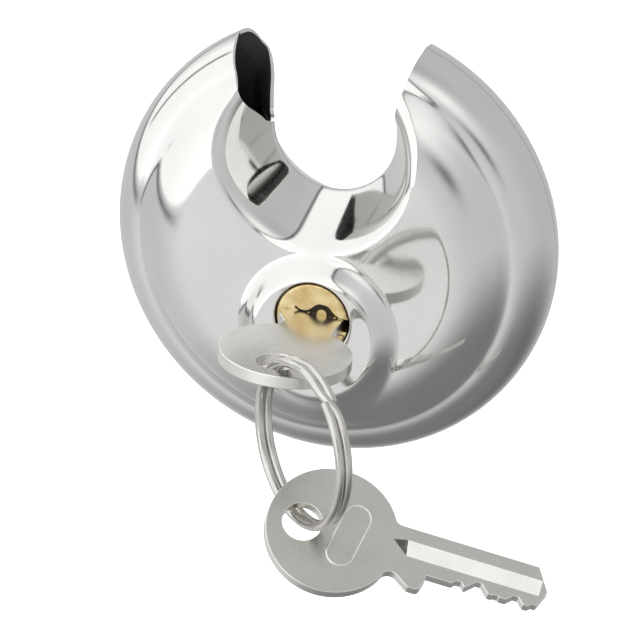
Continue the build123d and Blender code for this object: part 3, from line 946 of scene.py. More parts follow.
@dataclass
class PlugFace:
    """The plug's turned face: a shallow cap with the keyway's warded edge cut into it.

    Along the blade's width and over its thickness, distances are measured from the key's
    axis, in mm.

    Attributes:
        name: Name of the piece.
        radius: Radius of the face, mm.
        centre_z: Height of the plug's axis, mm.
        front: How far the face stands before the seam plane, mm.
        depth: Thickness of the cap and depth of the cut, mm.
        edge_round: Rounding of the face's edge, mm.
        edge_rings: Number of rings on that rounding.
        edge_begin: Angle at which the rounding begins, radians.
        key_x: The key's axis across, mm.
        key_z: The key's axis up, mm.
        tilt: Turn of the blade's width from level, degrees.
        blade_half: Half the blade's thickness, mm.
        play: Room between the blade and the middle of the cut, mm.
        cut_end: Where the thin cut ends beside the spine, along the blade.
        hook_rise: How far the cut turns up at that end.
        hook_width: Over what length it does so.
        spine: Where the open end begins, along the blade.
        open_low: How far down the open end reaches.
        open_lip: How far over the blade it reaches.
        arch_at: Middle of the arch round the ward, along the blade.
        arch_width: Half the arch's width.
        arch_rise: Height of the arch.
        arch_foot: Height above which the space under the arch is cut and painted dark as shade.
        line: Half the width of the thin cut.
        ward: Radius of the round ward that stands in the arch.
        ward_lift: How far its middle stands over the blade.
        rings: Number of rings in the mesh.
        spokes: Number of spokes in the mesh.
    """

    name: str = "plug_front_face"
    radius: float = 5.66
    centre_z: float = -9.0
    front: float = 14.42
    depth: float = 0.18
    edge_round: float = 0.3
    edge_rings: int = 5
    edge_begin: float = 0.3
    key_x: float = 0.694
    key_z: float = -9.0914
    tilt: float = -7.5
    blade_half: float = 1.0
    play: float = 0.06
    cut_end: float = -3.6
    hook_rise: float = 0.45
    hook_width: float = 0.55
    spine: float = 3.3
    open_low: float = -1.7
    open_lip: float = 0.35
    arch_at: float = 0.75
    arch_width: float = 1.75
    arch_rise: float = 1.5
    arch_foot: float = 0.35
    line: float = 0.19
    ward: float = 0.8
    ward_lift: float = 0.15
    rings: int = 100
    spokes: int = 380

    def keyway(self, x: np.ndarray, z: np.ndarray) -> tuple[np.ndarray, np.ndarray]:
        """Tells which points of the face lie in the keyway's cut.

        Args:
            x: Positions across, mm.
            z: Positions up, mm.

        Returns:
            Whether each point is in the shallow cut, and whether it is in the open end.
        """
        lean = math.radians(self.tilt)
        across, up = x - self.key_x, z - self.key_z
        along = across * math.cos(lean) + up * math.sin(lean)
        over = up * math.cos(lean) - across * math.sin(lean)
        bow = np.abs((along - self.arch_at) / self.arch_width) ** 3
        arch = self.arch_rise * np.exp(-bow)
        hook = self.hook_rise * np.exp(-(((along - self.cut_end) / self.hook_width) ** 2))
        middle = self.blade_half + self.play + arch + hook
        cut = (np.abs(over - middle) < self.line) & (along > self.cut_end)
        inner = (over > self.blade_half) & (over < middle) & (arch > self.arch_foot)
        gap = np.hypot(along - self.arch_at, over - self.blade_half - self.ward_lift)
        lip = self.blade_half + self.open_lip
        opened = (along > self.spine) & (over > self.open_low) & (over < lip)
        return (cut | inner) & (gap >= self.ward), opened

    def dress(self, brass: bpy.types.Material, dark: bpy.types.Material) -> bpy.types.Object:
        """Builds the cap.

        Args:
            brass: Finish of the face.
            dark: Finish of the cut, painted dark as the keyway's shade.

        Returns:
            The finished piece.
        """
        inner = self.radius - self.edge_round
        rounding = np.sin(np.linspace(self.edge_begin, math.pi / 2, self.edge_rings))
        rolled = self.radius - self.edge_round * (1 - rounding)
        away = np.concatenate([np.linspace(0, 1, self.rings - self.edge_rings) * inner, rolled])
        turn = np.linspace(0, 2 * math.pi, self.spokes, endpoint=False)
        x = np.outer(np.cos(turn), away)
        z = self.centre_z + np.outer(np.sin(turn), away)
        cut, opened = self.keyway(x, z)
        fall = np.clip(away - inner, 0, self.edge_round) / self.edge_round
        drop = self.depth * (1 - np.sqrt(np.maximum(1 - fall**2, 0)))
        y = np.where(cut, -self.front + self.depth, -self.front + drop)
        count = len(away)
        faces, shade = [], []
        for i in range(self.spokes):
            k = (i + 1) % self.spokes
            for j in range(count - 1):
                if opened[i, j] and opened[k, j + 1]:
                    continue
                faces.append((i * count + j, i * count + j + 1, k * count + j + 1, k * count + j))
                # Faces in the cut take the dark finish: painted shade of the keyway's gap.
                shade.append(1 if cut[i, j] and cut[k, j + 1] else 0)
        points = np.column_stack([x.ravel(), y.ravel(), z.ravel()])
        piece = new_piece(self.name, points, faces)
        piece.data.materials.append(brass)
        piece.data.materials.append(dark)
        piece.data.polygons.foreach_set("material_index", shade)
        weld(piece.data, gap=0.002, toward=Side.FRONT.value)
        settle(piece, crease=40.0)
        return piece


def round_corners(corners: Sequence[tuple[float, float, float]], steps: int = 10) -> np.ndarray:
    """Rounds the corners of a closed outline.

    Args:
        corners: Each corner's x, y and radius, counter-clockwise, mm.
        steps: Pieces in each arc.

    Returns:
        Points of the rounded outline.
    """
    spots = np.array([corner[:2] for corner in corners])
    points = []
    for index, (spot, (_, _, radius)) in enumerate(zip(spots, corners)):
        if radius == 0:
            points.append(spot)
            continue
        back = spots[index - 1] - spot
        ahead = spots[(index + 1) % len(spots)] - spot
        back, ahead = back / np.linalg.norm(back), ahead / np.linalg.norm(ahead)
        half = math.acos(max(-1.0, min(1.0, float(back @ ahead)))) / 2
        middle = (back + ahead) / np.linalg.norm(back + ahead)
        centre = spot + middle * radius / math.sin(half)
        first = spot + back * radius / math.tan(half) - centre
        last = spot + ahead * radius / math.tan(half) - centre
        start = math.atan2(first[1], first[0])
        sweep = (math.atan2(last[1], last[0]) - start + math.pi) % (2 * math.pi) - math.pi
        for step in range(steps + 1):
            angle = start + sweep * step / steps
            points.append(centre + radius * np.array([math.cos(angle), math.sin(angle)]))
    return np.array(points)


def shrink(loop: np.ndarray, inward: float) -> np.ndarray:
    """Draws a counter-clockwise loop inward, corner by corner.

    Args:
        loop: The loop's points.
        inward: Distance that each side moves.

    Returns:
        The moved points.
    """
    before = loop - np.roll(loop, 1, axis=0)
    after = np.roll(loop, -1, axis=0) - loop
    before /= np.linalg.norm(before, axis=1)[:, None]
    after /= np.linalg.norm(after, axis=1)[:, None]
    left = np.column_stack([-before[:, 1], before[:, 0]])
    right = np.column_stack([-after[:, 1], after[:, 0]])
    share = 1 + np.sum(left * right, axis=1)
    return loop + (left + right) / np.maximum(share, 0.4)[:, None] * inward


@dataclass
class CutKey:
    """A flat cylinder key, milled on one face, with every edge broken.

    Local x runs from the bow's centre to the tip and local y towards the cuts, in mm.

    Attributes:
        name: Name of the piece.
        origin: The bow's centre in the shared frame, mm.
        along: Unit vector from the bow to the tip.
        facing: Unit vector out of the milled face.
        thickness: Thickness of the blank, mm.
        bow: Radius of the bow, mm.
        hole: Radius of the hole for the ring, mm.
        hole_at: Local x of the hole.
        spine: How far the straight back lies below the axis, mm.
        top: Local y of the uncut blade.
        shoulder: Local y of the shoulder's stop.
        shoulder_x: Local x of the shoulder's face.
        lobe: Length of the shoulder's flat, mm.
        lobe_slope: How far the shoulder's face leans back, mm.
        heel: How high the face's straight foot is, mm.
        tip_x: Local x of the tip.
        tip_y: Local y of the tip.
        tip_run: Length of the slope up to the tip, mm.
        first_cut: Local x of the cut nearest the tip.
        pitch: Distance between the cuts, mm.
        root_half: Half the flat at a cut's root, mm.
        roots: Local y of each cut's root, from the tip.
        neck_rise: How far above the blade the bow's neck starts, mm.
        neck_near: Angle of the bow's arc given up to the spine's neck, degrees.
        neck_far: Angle of it given up to the shoulder's neck, degrees.
        neck_round: Rounding of both necks, mm.
        spine_round: Rounding where the spine turns up to the tip, mm.
        tip_round: Rounding of the tip, mm.
        lobe_round: Rounding of the shoulder's corners, mm.
        edge: Width of the broken edges, mm.
        groove_start: Local x where the milled groove begins to sink.
        groove_end: Local x where it ends.
        groove_high: Local y of its side towards the spine.
        groove_low: Local y of its floor's deep edge.
        groove_wall: Width of the wall that rises from that edge, mm.
        groove_depth: Depth of the groove, mm.
        run_out: Length of the ramp where the cutter came out, mm.
        run_back: How much sooner the ramp ends on the spine's side, mm.
        run_skew: How far the ramp's point lies in from that side, mm.
        frame_at: Local x of the raised frame's middle.
        frame_length: Length of the frame, mm.
        frame_width: Width of the frame, mm.
        frame_turn: Turn of its long way from local x, degrees.
        frame_wire: Radius of its raised line, mm.
        frame_points: Points round each of its ends.
        bow_points: Points round the bow.
        hole_points: Points round the hole.
    """

    name: str
    origin: tuple[float, float, float]
    along: tuple[float, float, float]
    facing: tuple[float, float, float]
    thickness: float = 2.0
    bow: float = 10.3
    hole: float = 3.1
    hole_at: float = -4.75
    spine: float = 4.3
    top: float = 2.6
    shoulder: float = 5.4
    shoulder_x: float = 15.75
    lobe: float = 1.8
    lobe_slope: float = 0.55
    heel: float = 0.8
    tip_x: float = 34.25
    tip_y: float = -0.6
    tip_run: float = 2.2
    first_cut: float = 32.8
    pitch: float = 3.0
    root_half: float = 0.36
    roots: tuple[float, ...] = (2.1, 1.6, 2.4, 1.2, 2.0)
    neck_rise: float = 0.38
    neck_near: float = 9.0
    neck_far: float = 14.0
    neck_round: float = 1.5
    spine_round: float = 0.25
    tip_round: float = 0.3
    lobe_round: float = 0.8
    edge: float = 0.13
    groove_start: float = 9.4
    groove_end: float = 33.1
    groove_high: float = -2.2
    groove_low: float = 0.2
    groove_wall: float = 0.25
    groove_depth: float = 0.68
    run_out: float = 2.6
    run_back: float = 0.4
    run_skew: float = 0.5
    frame_at: float = 2.7
    frame_length: float = 10.65
    frame_width: float = 4.25
    frame_turn: float = 100.0
    frame_wire: float = 0.19
    frame_points: int = 25
    bow_points: int = 96
    hole_points: int = 72

    def cuts(self) -> list[tuple[float, float, float]]:
        """Lays the cuts along the blade, from the tip to the uncut part.

        Returns:
            Sharp corners as x, y and a radius of nought.
        """
        corners = []
        half = self.root_half
        for index, root in enumerate(self.roots):
            x = self.first_cut - self.pitch * index
            corners += [(x + half, root), (x - half, root)]
            last = index + 1 == len(self.roots)
            after = root if last else self.roots[index + 1]
            peak = (root + after + self.pitch) / 2 - half
            if peak < self.top and not last:
                corners.append((x - half - (peak - root), peak))
                continue
            corners.append((x - half - (self.top - root), self.top))
            if not last:
                corners.append((x - self.pitch + half + (self.top - after), self.top))
        return [(x, y, 0.0) for x, y in corners]

    def outline(self) -> np.ndarray:
        """Draws the blank with its cuts.

        Returns:
            Points of the outline, counter-clockwise.
        """
        spine_angle = math.asin(-self.spine / self.bow)
        neck_y = self.top + self.neck_rise
        neck_angle = math.asin(neck_y / self.bow)
        front, back = self.shoulder_x, self.shoulder_x - self.lobe_slope
        corners = [
            (self.bow * math.cos(spine_angle), -self.spine, self.neck_round),
            (self.tip_x - self.tip_run, -self.spine, self.spine_round),
            (self.tip_x, self.tip_y, self.tip_round),
            *self.cuts(),
            (front, self.top, 0.0),
            (front, self.top + self.heel, 0.0),
            (back, self.shoulder, self.lobe_round),
            (back - self.lobe, self.shoulder, self.lobe_round),
            (self.bow * math.cos(neck_angle), neck_y, self.neck_round),
        ]
        begin = neck_angle + math.radians(self.neck_far)
        end = 2 * math.pi + spine_angle - math.radians(self.neck_near)
        arc = np.linspace(begin, end, self.bow_points)
        corners += [(self.bow * math.cos(a), self.bow * math.sin(a), 0.0) for a in arc]
        return round_corners(corners)

    def place(self, x: float, y: float, out: float) -> tuple[float, float, float]:
        """Turns a local point into the shared frame.

        Args:
            x: Distance from the bow's centre towards the tip, mm.
            y: Distance towards the cuts, mm.
            out: Distance from the mid-plane towards the milled face, mm.

        Returns:
            The point's x, y and z, mm.
        """
        ahead, face = Vector(self.along).normalized(), Vector(self.facing).normalized()
        side = (-face).cross(ahead)
        return tuple(Vector(self.origin) + ahead * x + side * y + face * out)

    def groove(self) -> tuple[list[tuple[float, float]], list[tuple[float, float]]]:
        """Draws the milled groove with the ramp where the cutter ran out.

        Returns:
            The groove's corners on the face, and the ends of its floor's deep edge.
        """
        high, low, end = self.groove_high, self.groove_low, self.groove_end
        lip, sunk = low + self.groove_wall, self.groove_start + self.run_out
        rim = [
            (self.groove_start, high + self.run_skew),
            (sunk - self.run_back, high),
            (end, high),
            (end, lip),
            (sunk, lip),
        ]
        return rim, [(sunk, low), (end, low)]

    def rows(self, work: bmesh.types.BMesh) -> list[list[list[bmesh.types.BMVert]]]:
        """Builds the key's edge and its hole, with the corners broken on both faces.

        Args:
            work: The mesh that gets them.

        Returns:
            Rows from the milled face to the plain one, each with the outline and the hole.
        """
        rim = self.outline()
        turn = np.linspace(0, 2 * math.pi, self.hole_points, endpoint=False)
        circle = np.column_stack([np.cos(turn), np.sin(turn)])
        steps = ((1.0, 0.0), (0.3, 0.3), (0.0, 1.0))
        rows = []
        for sign in (1, -1):
            for inward, down in steps if sign == 1 else steps[::-1]:
                out = sign * (self.thickness / 2 - self.edge * down)
                hole = circle * (self.hole + self.edge * inward) + np.array([self.hole_at, 0])
                loops = (shrink(rim, self.edge * inward), hole)
                rows.append(
                    [[work.verts.new(self.place(x, y, out)) for x, y in loop] for loop in loops]
                )
        for upper, lower in zip(rows, rows[1:]):
            for first, second in zip(upper, lower):
                for k in range(len(first)):
                    n = (k + 1) % len(first)
                    work.faces.new((first[k], first[n], second[n], second[k]))
        return rows

    def mill(
        self, work: bmesh.types.BMesh
    ) -> tuple[list[bmesh.types.BMVert], bmesh.types.BMFace]:
        """Builds the groove's floor, walls and ramp.

        Args:
            work: The mesh that gets them.

        Returns:
            The groove's corners on the face, and the ramp.
        """
        channel, deep = self.groove()
        face = self.thickness / 2
        top = [work.verts.new(self.place(x, y, face)) for x, y in channel]
        floor = [work.verts.new(self.place(x, y, face - self.groove_depth)) for x, y in deep]
        start, high_start, high_end, low_end, low_start = top
        ramp = work.faces.new((start, high_start, floor[0]))
        for corners in (
            (high_start, high_end, floor[1], floor[0]),
            (floor[0], floor[1], low_end, low_start),
            (start, floor[0], low_start),
            (high_end, low_end, floor[1]),
        ):
            work.faces.new(corners)
        return top, ramp

    @staticmethod
    def fill(
        work: bmesh.types.BMesh, loops: Sequence[Sequence[bmesh.types.BMVert]]
    ) -> list[bmesh.types.BMFace]:
        """Fills a flat face between its outline and the loops inside it.

        Args:
            work: The mesh that gets the face.
            loops: The outline and the loops inside it.

        Returns:
            The new triangles.
        """
        edges = [
            work.edges.get((loop[k - 1], loop[k])) or work.edges.new((loop[k - 1], loop[k]))
            for loop in loops
            for k in range(len(loop))
        ]
        filled = bmesh.ops.triangle_fill(work, use_beauty=True, edges=edges)["geom"]
        return [face for face in filled if isinstance(face, bmesh.types.BMFace)]

    def build(self) -> bpy.types.Object:
        """Builds the key's mesh: flats are material 0, edges and groove 1, the ramp 2.

        Returns:
            The key, bare of materials.
        """
        work = bmesh.new()
        rows = self.rows(work)
        top, ramp = self.mill(work)
        flats = self.fill(work, rows[0] + [top]) + self.fill(work, rows[-1])
        # Edges, cuts and groove take the near-white finish: fresh metal and a painted highlight.
        for face in work.faces:
            face.material_index = 1
        for face in flats:
            face.material_index = 0
        # The ramp's finish is painted dark as shade.
        ramp.material_index = 2
        bmesh.ops.scale(work, vec=(MM, MM, MM), verts=work.verts)
        bmesh.ops.recalc_face_normals(work, faces=work.faces)
        mesh = bpy.data.meshes.new(self.name)
        work.to_mesh(mesh)
        work.free()
        return link_mesh(self.name, mesh)

    def frame(self, finish: bpy.types.Material) -> bpy.types.Object:
        """Sweeps the blank raised frame on the bow's milled face.

        Args:
            finish: Finish of the frame.

        Returns:
            The frame.
        """
        straight = (self.frame_length - self.frame_width) / 2
        radius, lean = self.frame_width / 2, math.radians(self.frame_turn)
        points = []
        for end, base in ((1, -90), (-1, 90)):
            for angle in np.radians(np.linspace(base, base + 180, self.frame_points)):
                u = end * straight + radius * math.cos(angle)
                v = radius * math.sin(angle)
                x = self.frame_at + u * math.cos(lean) - v * math.sin(lean)
                y = u * math.sin(lean) + v * math.cos(lean)
                points.append(self.place(x, y, self.thickness / 2))
        line = RoundBar(
            f"{self.name}_frame",
            np.array(points),
            section=self.frame_wire,
            end_round=0.0,
            sides=12,
            closed=True,
        )
        return line.dress(finish)

    def dress(
        self, finish: bpy.types.Material, cut: bpy.types.Material, ramp_painted_shade: bpy.types.Material
    ) -> list[bpy.types.Object]:
        """Builds the key and its frame.

        Args:
            finish: Finish of the key's flats.
            cut: Finish of its milled groove, its cuts and its worn edges, near white: paler fresh
                metal and a painted highlight.
            ramp_painted_shade: Finish of the rough ramp where the cutter ran out, painted dark as
                shade.

        Returns:
            The key and its frame.
        """
        piece = self.build()
        for worn in (finish, cut, ramp_painted_shade):
            piece.data.materials.append(worn)
        settle(piece, crease=11.0)
        return [piece, self.frame(cut)]


# --- wire and bar ---


@dataclass(frozen=True)
class SweepRecipe:
    """The Geometry Nodes recipe that sweeps a round section along a drawn path.

    Attributes:
        name: Name of the node group.
    """

    name: str = "swept_round_bar"

    def group(self) -> bpy.types.GeometryNodeTree:
        """Builds the node group once.

        Returns:
            A group with the inputs Section, Sides and Finish.
        """
        ready = bpy.data.node_groups.get(self.name)
        if ready:
            return ready
        tree = bpy.data.node_groups.new(self.name, "GeometryNodeTree")
        for name, way, kind in (
            ("Geometry", "INPUT", "NodeSocketGeometry"),
            ("Section", "INPUT", "NodeSocketFloat"),
            ("Sides", "INPUT", "NodeSocketInt"),
            ("Finish", "INPUT", "NodeSocketMaterial"),
            ("Geometry", "OUTPUT", "NodeSocketGeometry"),
        ):
            tree.interface.new_socket(name, in_out=way, socket_type=kind)
        given = put(tree, "NodeGroupInput").outputs
        path = put(tree, "GeometryNodeMeshToCurve", {"Mesh": given["Geometry"]})
        taper = put(tree, "GeometryNodeInputNamedAttribute", {"Name": "taper"}, data_type="FLOAT")
        tapered = put(
            tree,
            "GeometryNodeSetCurveRadius",
            {"Curve": path, "Radius": taper.outputs["Attribute"]},
        )
        ring = put(
            tree,
            "GeometryNodeCurvePrimitiveCircle",
            {"Radius": given["Section"], "Resolution": given["Sides"]},
        )
        swept = put(
            tree,
            "GeometryNodeCurveToMesh",
            {"Curve": tapered, "Profile Curve": ring, "Fill Caps": True},
        )
        real = put(tree, "GeometryNodeRealizeInstances", {"Geometry": swept})
        finish = put(
            tree, "GeometryNodeSetMaterial", {"Geometry": real, "Material": given["Finish"]}
        )
        put(tree, "NodeGroupOutput", {"Geometry": finish})
        return tree


def run_recipe(
    piece: bpy.types.Object, tree: bpy.types.GeometryNodeTree, values: dict[str, object]
) -> None:
    """Gives a piece a Geometry Nodes recipe with its inputs set by their identifiers.

    Args:
        piece: The piece that carries the path.
        tree: The recipe.
        values: Input name to value.
    """
    step = piece.modifiers.new("recipe", "NODES")
    step.node_group = tree
    sockets = {
        item.name: item.identifier
        for item in tree.interface.items_tree
        if item.item_type == "SOCKET" and item.in_out == "INPUT"
    }
    for name, value in values.items():
        step[sockets[name]] = value


@dataclass
class RoundBar:
    """A round bar or wire that follows a path, with softened ends.

    Attributes:
        name: Name of the piece.
        path: Points of the centre line, mm, with the ends' roundings already spaced.
        section: Radius of the bar, mm.
        end_round: Rounding of both ends, mm.
        sides: Points round the section.
        closed: Whether the path runs back into its start.
    """

    name: str
    path: np.ndarray
    section: float
    end_round: float
    sides: int
    closed: bool = False

    def dress(self, finish: bpy.types.Material) -> bpy.types.Object:
        """Sweeps the bar and makes it one plain mesh.

        Args:
            finish: Finish of the bar.

        Returns:
            The finished piece.
        """
        count = len(self.path)
        last = count if self.closed else count - 1
        piece = new_piece(self.name, self.path, [], [(i, (i + 1) % count) for i in range(last)])
        steps = np.linalg.norm(np.diff(self.path, axis=0), axis=1)
        run = np.concatenate([[0], np.cumsum(steps)])
        near = np.minimum(np.minimum(run, run[-1] - run), self.end_round)
        sag = self.end_round - np.sqrt(
            np.maximum(self.end_round**2 - (self.end_round - near) ** 2, 0)
        )
        taper = piece.data.attributes.new("taper", "FLOAT", "POINT")
        taper.data.foreach_set("value", 1 - sag / self.section)
        sizes = {"Section": self.section * MM, "Sides": self.sides, "Finish": finish}
        run_recipe(piece, SweepRecipe().group(), sizes)
        settle(piece, crease=50.0)
        return piece


def eased(count: int, fine: int, share: float) -> np.ndarray:
    """Shares from 0 to 1 with extra points near both ends.

    Args:
        count: Points along the middle.
        fine: Extra points in each end.
        share: Share of the length that each end takes.

    Returns:
        Rising shares.
    """
    start = share * (1 - np.cos(np.linspace(0, math.pi / 2, fine)))
    return np.concatenate([start, np.linspace(share, 1 - share, count)[1:-1], 1 - start[::-1]])


@dataclass
class Shackle:
    """The steel bar that swings round inside the disc.

    Attributes:
        name: Name of the piece.
        bend: Radius of the bar's centre line, mm.
        section: Radius of the bar, mm.
        tip: Bearing of its free end, degrees clockwise from the top.
        tail: Bearing of its driven end, degrees.
        end_round: Rounding of both ends, mm.
        sides: Points round the section.
        points: Points along the middle.
        end_points: Extra points along each end.
    """

    name: str = "shackle_round_bar"
    bend: float = 27.8
    section: float = 4.6
    tip: float = 32.0
    tail: float = 230.0
    end_round: float = 1.2
    sides: int = 72
    points: int = 220
    end_points: int = 9

    def dress(self, finish: bpy.types.Material) -> bpy.types.Object:
        """Builds the bar.

        Args:
            finish: Finish of the bar.

        Returns:
            The finished piece.
        """
        length = self.bend * math.radians(self.tail - self.tip)
        shares = eased(self.points, self.end_points, self.end_round / length)
        bearing = np.radians(self.tip + (self.tail - self.tip) * shares)
        path = np.column_stack(
            [self.bend * np.sin(bearing), np.zeros_like(bearing), self.bend * np.cos(bearing)]
        )
        return RoundBar(self.name, path, self.section, self.end_round, self.sides).dress(finish)


@dataclass
class SplitRing:
    """Two close turns of round wire, with the ends a little apart.

    Attributes:
        name: Name of the piece.
        centre: Centre of the ring, mm.
        way: Unit vector across the ring, level.
        mean: Radius of the wire's centre line, mm.
        wire: Radius of the wire, mm.
        end_round: Rounding of the wire's ends, mm.
        sides: Points round the wire.
        points: Points along the middle.
        end_points: Extra points along each end.
        turns: Number of turns.
        start: Angle of the wire's first end, degrees from level.
        lift: Angle over which the wire crosses to its second turn, half of it, degrees.
    """

    name: str = "split_ring_wire"
    centre: tuple[float, float, float] = (6.7197, -40.4482, -18.8414)
    way: tuple[float, float, float] = (0.72657, -0.68709, 0.0)
    mean: float = 12.8
    wire: float = 0.7
    end_round: float = 0.35
    sides: int = 24
    points: int = 340
    end_points: int = 8
    turns: int = 2
    start: float = 48.0
    lift: float = 14.0

    def dress(self, finish: bpy.types.Material) -> bpy.types.Object:
        """Winds the ring.

        Args:
            finish: Finish of the wire.

        Returns:
            The finished piece.
        """
        across = Vector(self.way).normalized()
        up = Vector((0.0, 0.0, 1.0))
        normal = across.cross(up)
        length = self.turns * 2 * math.pi * self.mean
        whole = 360.0 * self.turns
        points = []
        for share in eased(self.points, self.end_points, self.end_round / length):
            turned = share * whole
            angle = math.radians(self.start + turned)
            crossing = min(max((turned - whole / 2) / (2 * self.lift) + 0.5, 0.0), 1.0)
            side = (2 * smooth_share(crossing) - 1) * self.wire
            out = across * math.cos(angle) + up * math.sin(angle)
            points.append(tuple(Vector(self.centre) + out * self.mean + normal * side))
        bar = RoundBar(self.name, np.array(points), self.wire, self.end_round, self.sides)
        return bar.dress(finish)


# --- carried-over CAD nodes ---


def redress(node: str, finish: bpy.types.Material) -> None:
    """Gives a CAD node its finish.

    Args:
        node: Name of the node.
        finish: The finish.
    """
    kept = bpy.data.objects[node]
    kept.data.materials.clear()
    kept.data.materials.append(finish)


# --- studio ---


def compass(azimuth: float, elevation: float) -> Vector:
    """Turns a compass bearing into a direction.

    Args:
        azimuth: Angle from the front towards +X, degrees.
        elevation: Angle above the level, degrees.

    Returns:
        The direction, as a unit vector.
    """
    turn, rise = math.radians(azimuth), math.radians(elevation)
    level = math.cos(rise)
    return Vector((math.sin(turn) * level, -math.cos(turn) * level, math.sin(rise)))


def edge_towards(first: Vector, second: Vector, lit: Vector) -> Vector:
    """Finds the normal of the great circle through two directions.

    Args:
        first: One direction on the circle.
        second: Another direction on it.
        lit: A direction on the side that the normal must point to.

    Returns:
        The normal, of unit length.
    """
    normal = first.cross(second).normalized()
    return normal * math.copysign(1, normal.dot(lit))


@dataclass(frozen=True)
class Glow:
    """A round soft light or shade on the room's wall.

    Attributes:
        azimuth: Where its middle lies, degrees from the front towards +X.
        elevation: How high its middle lies, degrees.
        tight: How fast it fades away from its middle.
        level: The light it adds, or takes away when below zero.
    """

    azimuth: float
    elevation: float
    tight: float
    level: float

    def draw(self, tree: bpy.types.NodeTree, ray: bpy.types.Node) -> bpy.types.Node:
        """Draws how strongly a ray meets the glow.

        Args:
            tree: The world's node tree.
            ray: Node with the ray's unit direction.

        Returns:
            Node with one in the glow's middle and nought far from it.
        """
        way = compass(self.azimuth, self.elevation)
        toward = put(tree, "ShaderNodeVectorMath", {0: ray, 1: way}, operation="DOT_PRODUCT")
        drop = put(
            tree,
            "ShaderNodeMath",
            {0: toward, 1: self.tight, 2: -self.tight},
            operation="MULTIPLY_ADD",
        )
        return put(tree, "ShaderNodeMath", {0: drop}, operation="EXPONENT")


@dataclass(frozen=True)
class Strip:
    """A long dark strip on the room's wall, beside a great circle.

    Attributes:
        centre: How far from the circle it lies.
        width: How wide it is.
        level: The light it adds, or takes away when below zero.
    """

    centre: float
    width: float
    level: float

    def draw(
        self,
        tree: bpy.types.NodeTree,
        across: bpy.types.Node,
        limits: Sequence[bpy.types.Node],
    ) -> bpy.types.Node:
        """Draws how strongly a ray meets the strip.

        Args:
            tree: The world's node tree.
            across: Node with the ray's distance from the circle.
            limits: Nodes that fade the strip out along its length.

        Returns:
            Node with one in the strip's middle and nought far from it.
        """
        off = put(
            tree,
            "ShaderNodeMath",
            {0: across, 1: 1 / self.width, 2: -self.centre / self.width},
            operation="MULTIPLY_ADD",
        )
        square = put(tree, "ShaderNodeMath", {0: off, 1: off}, operation="MULTIPLY")
        drop = put(tree, "ShaderNodeMath", {0: square, 1: -1.0}, operation="MULTIPLY")
        strip = put(tree, "ShaderNodeMath", {0: drop}, operation="EXPONENT")
        for limit in limits:
            strip = put(tree, "ShaderNodeMath", {0: strip, 1: limit}, operation="MULTIPLY")
        return strip


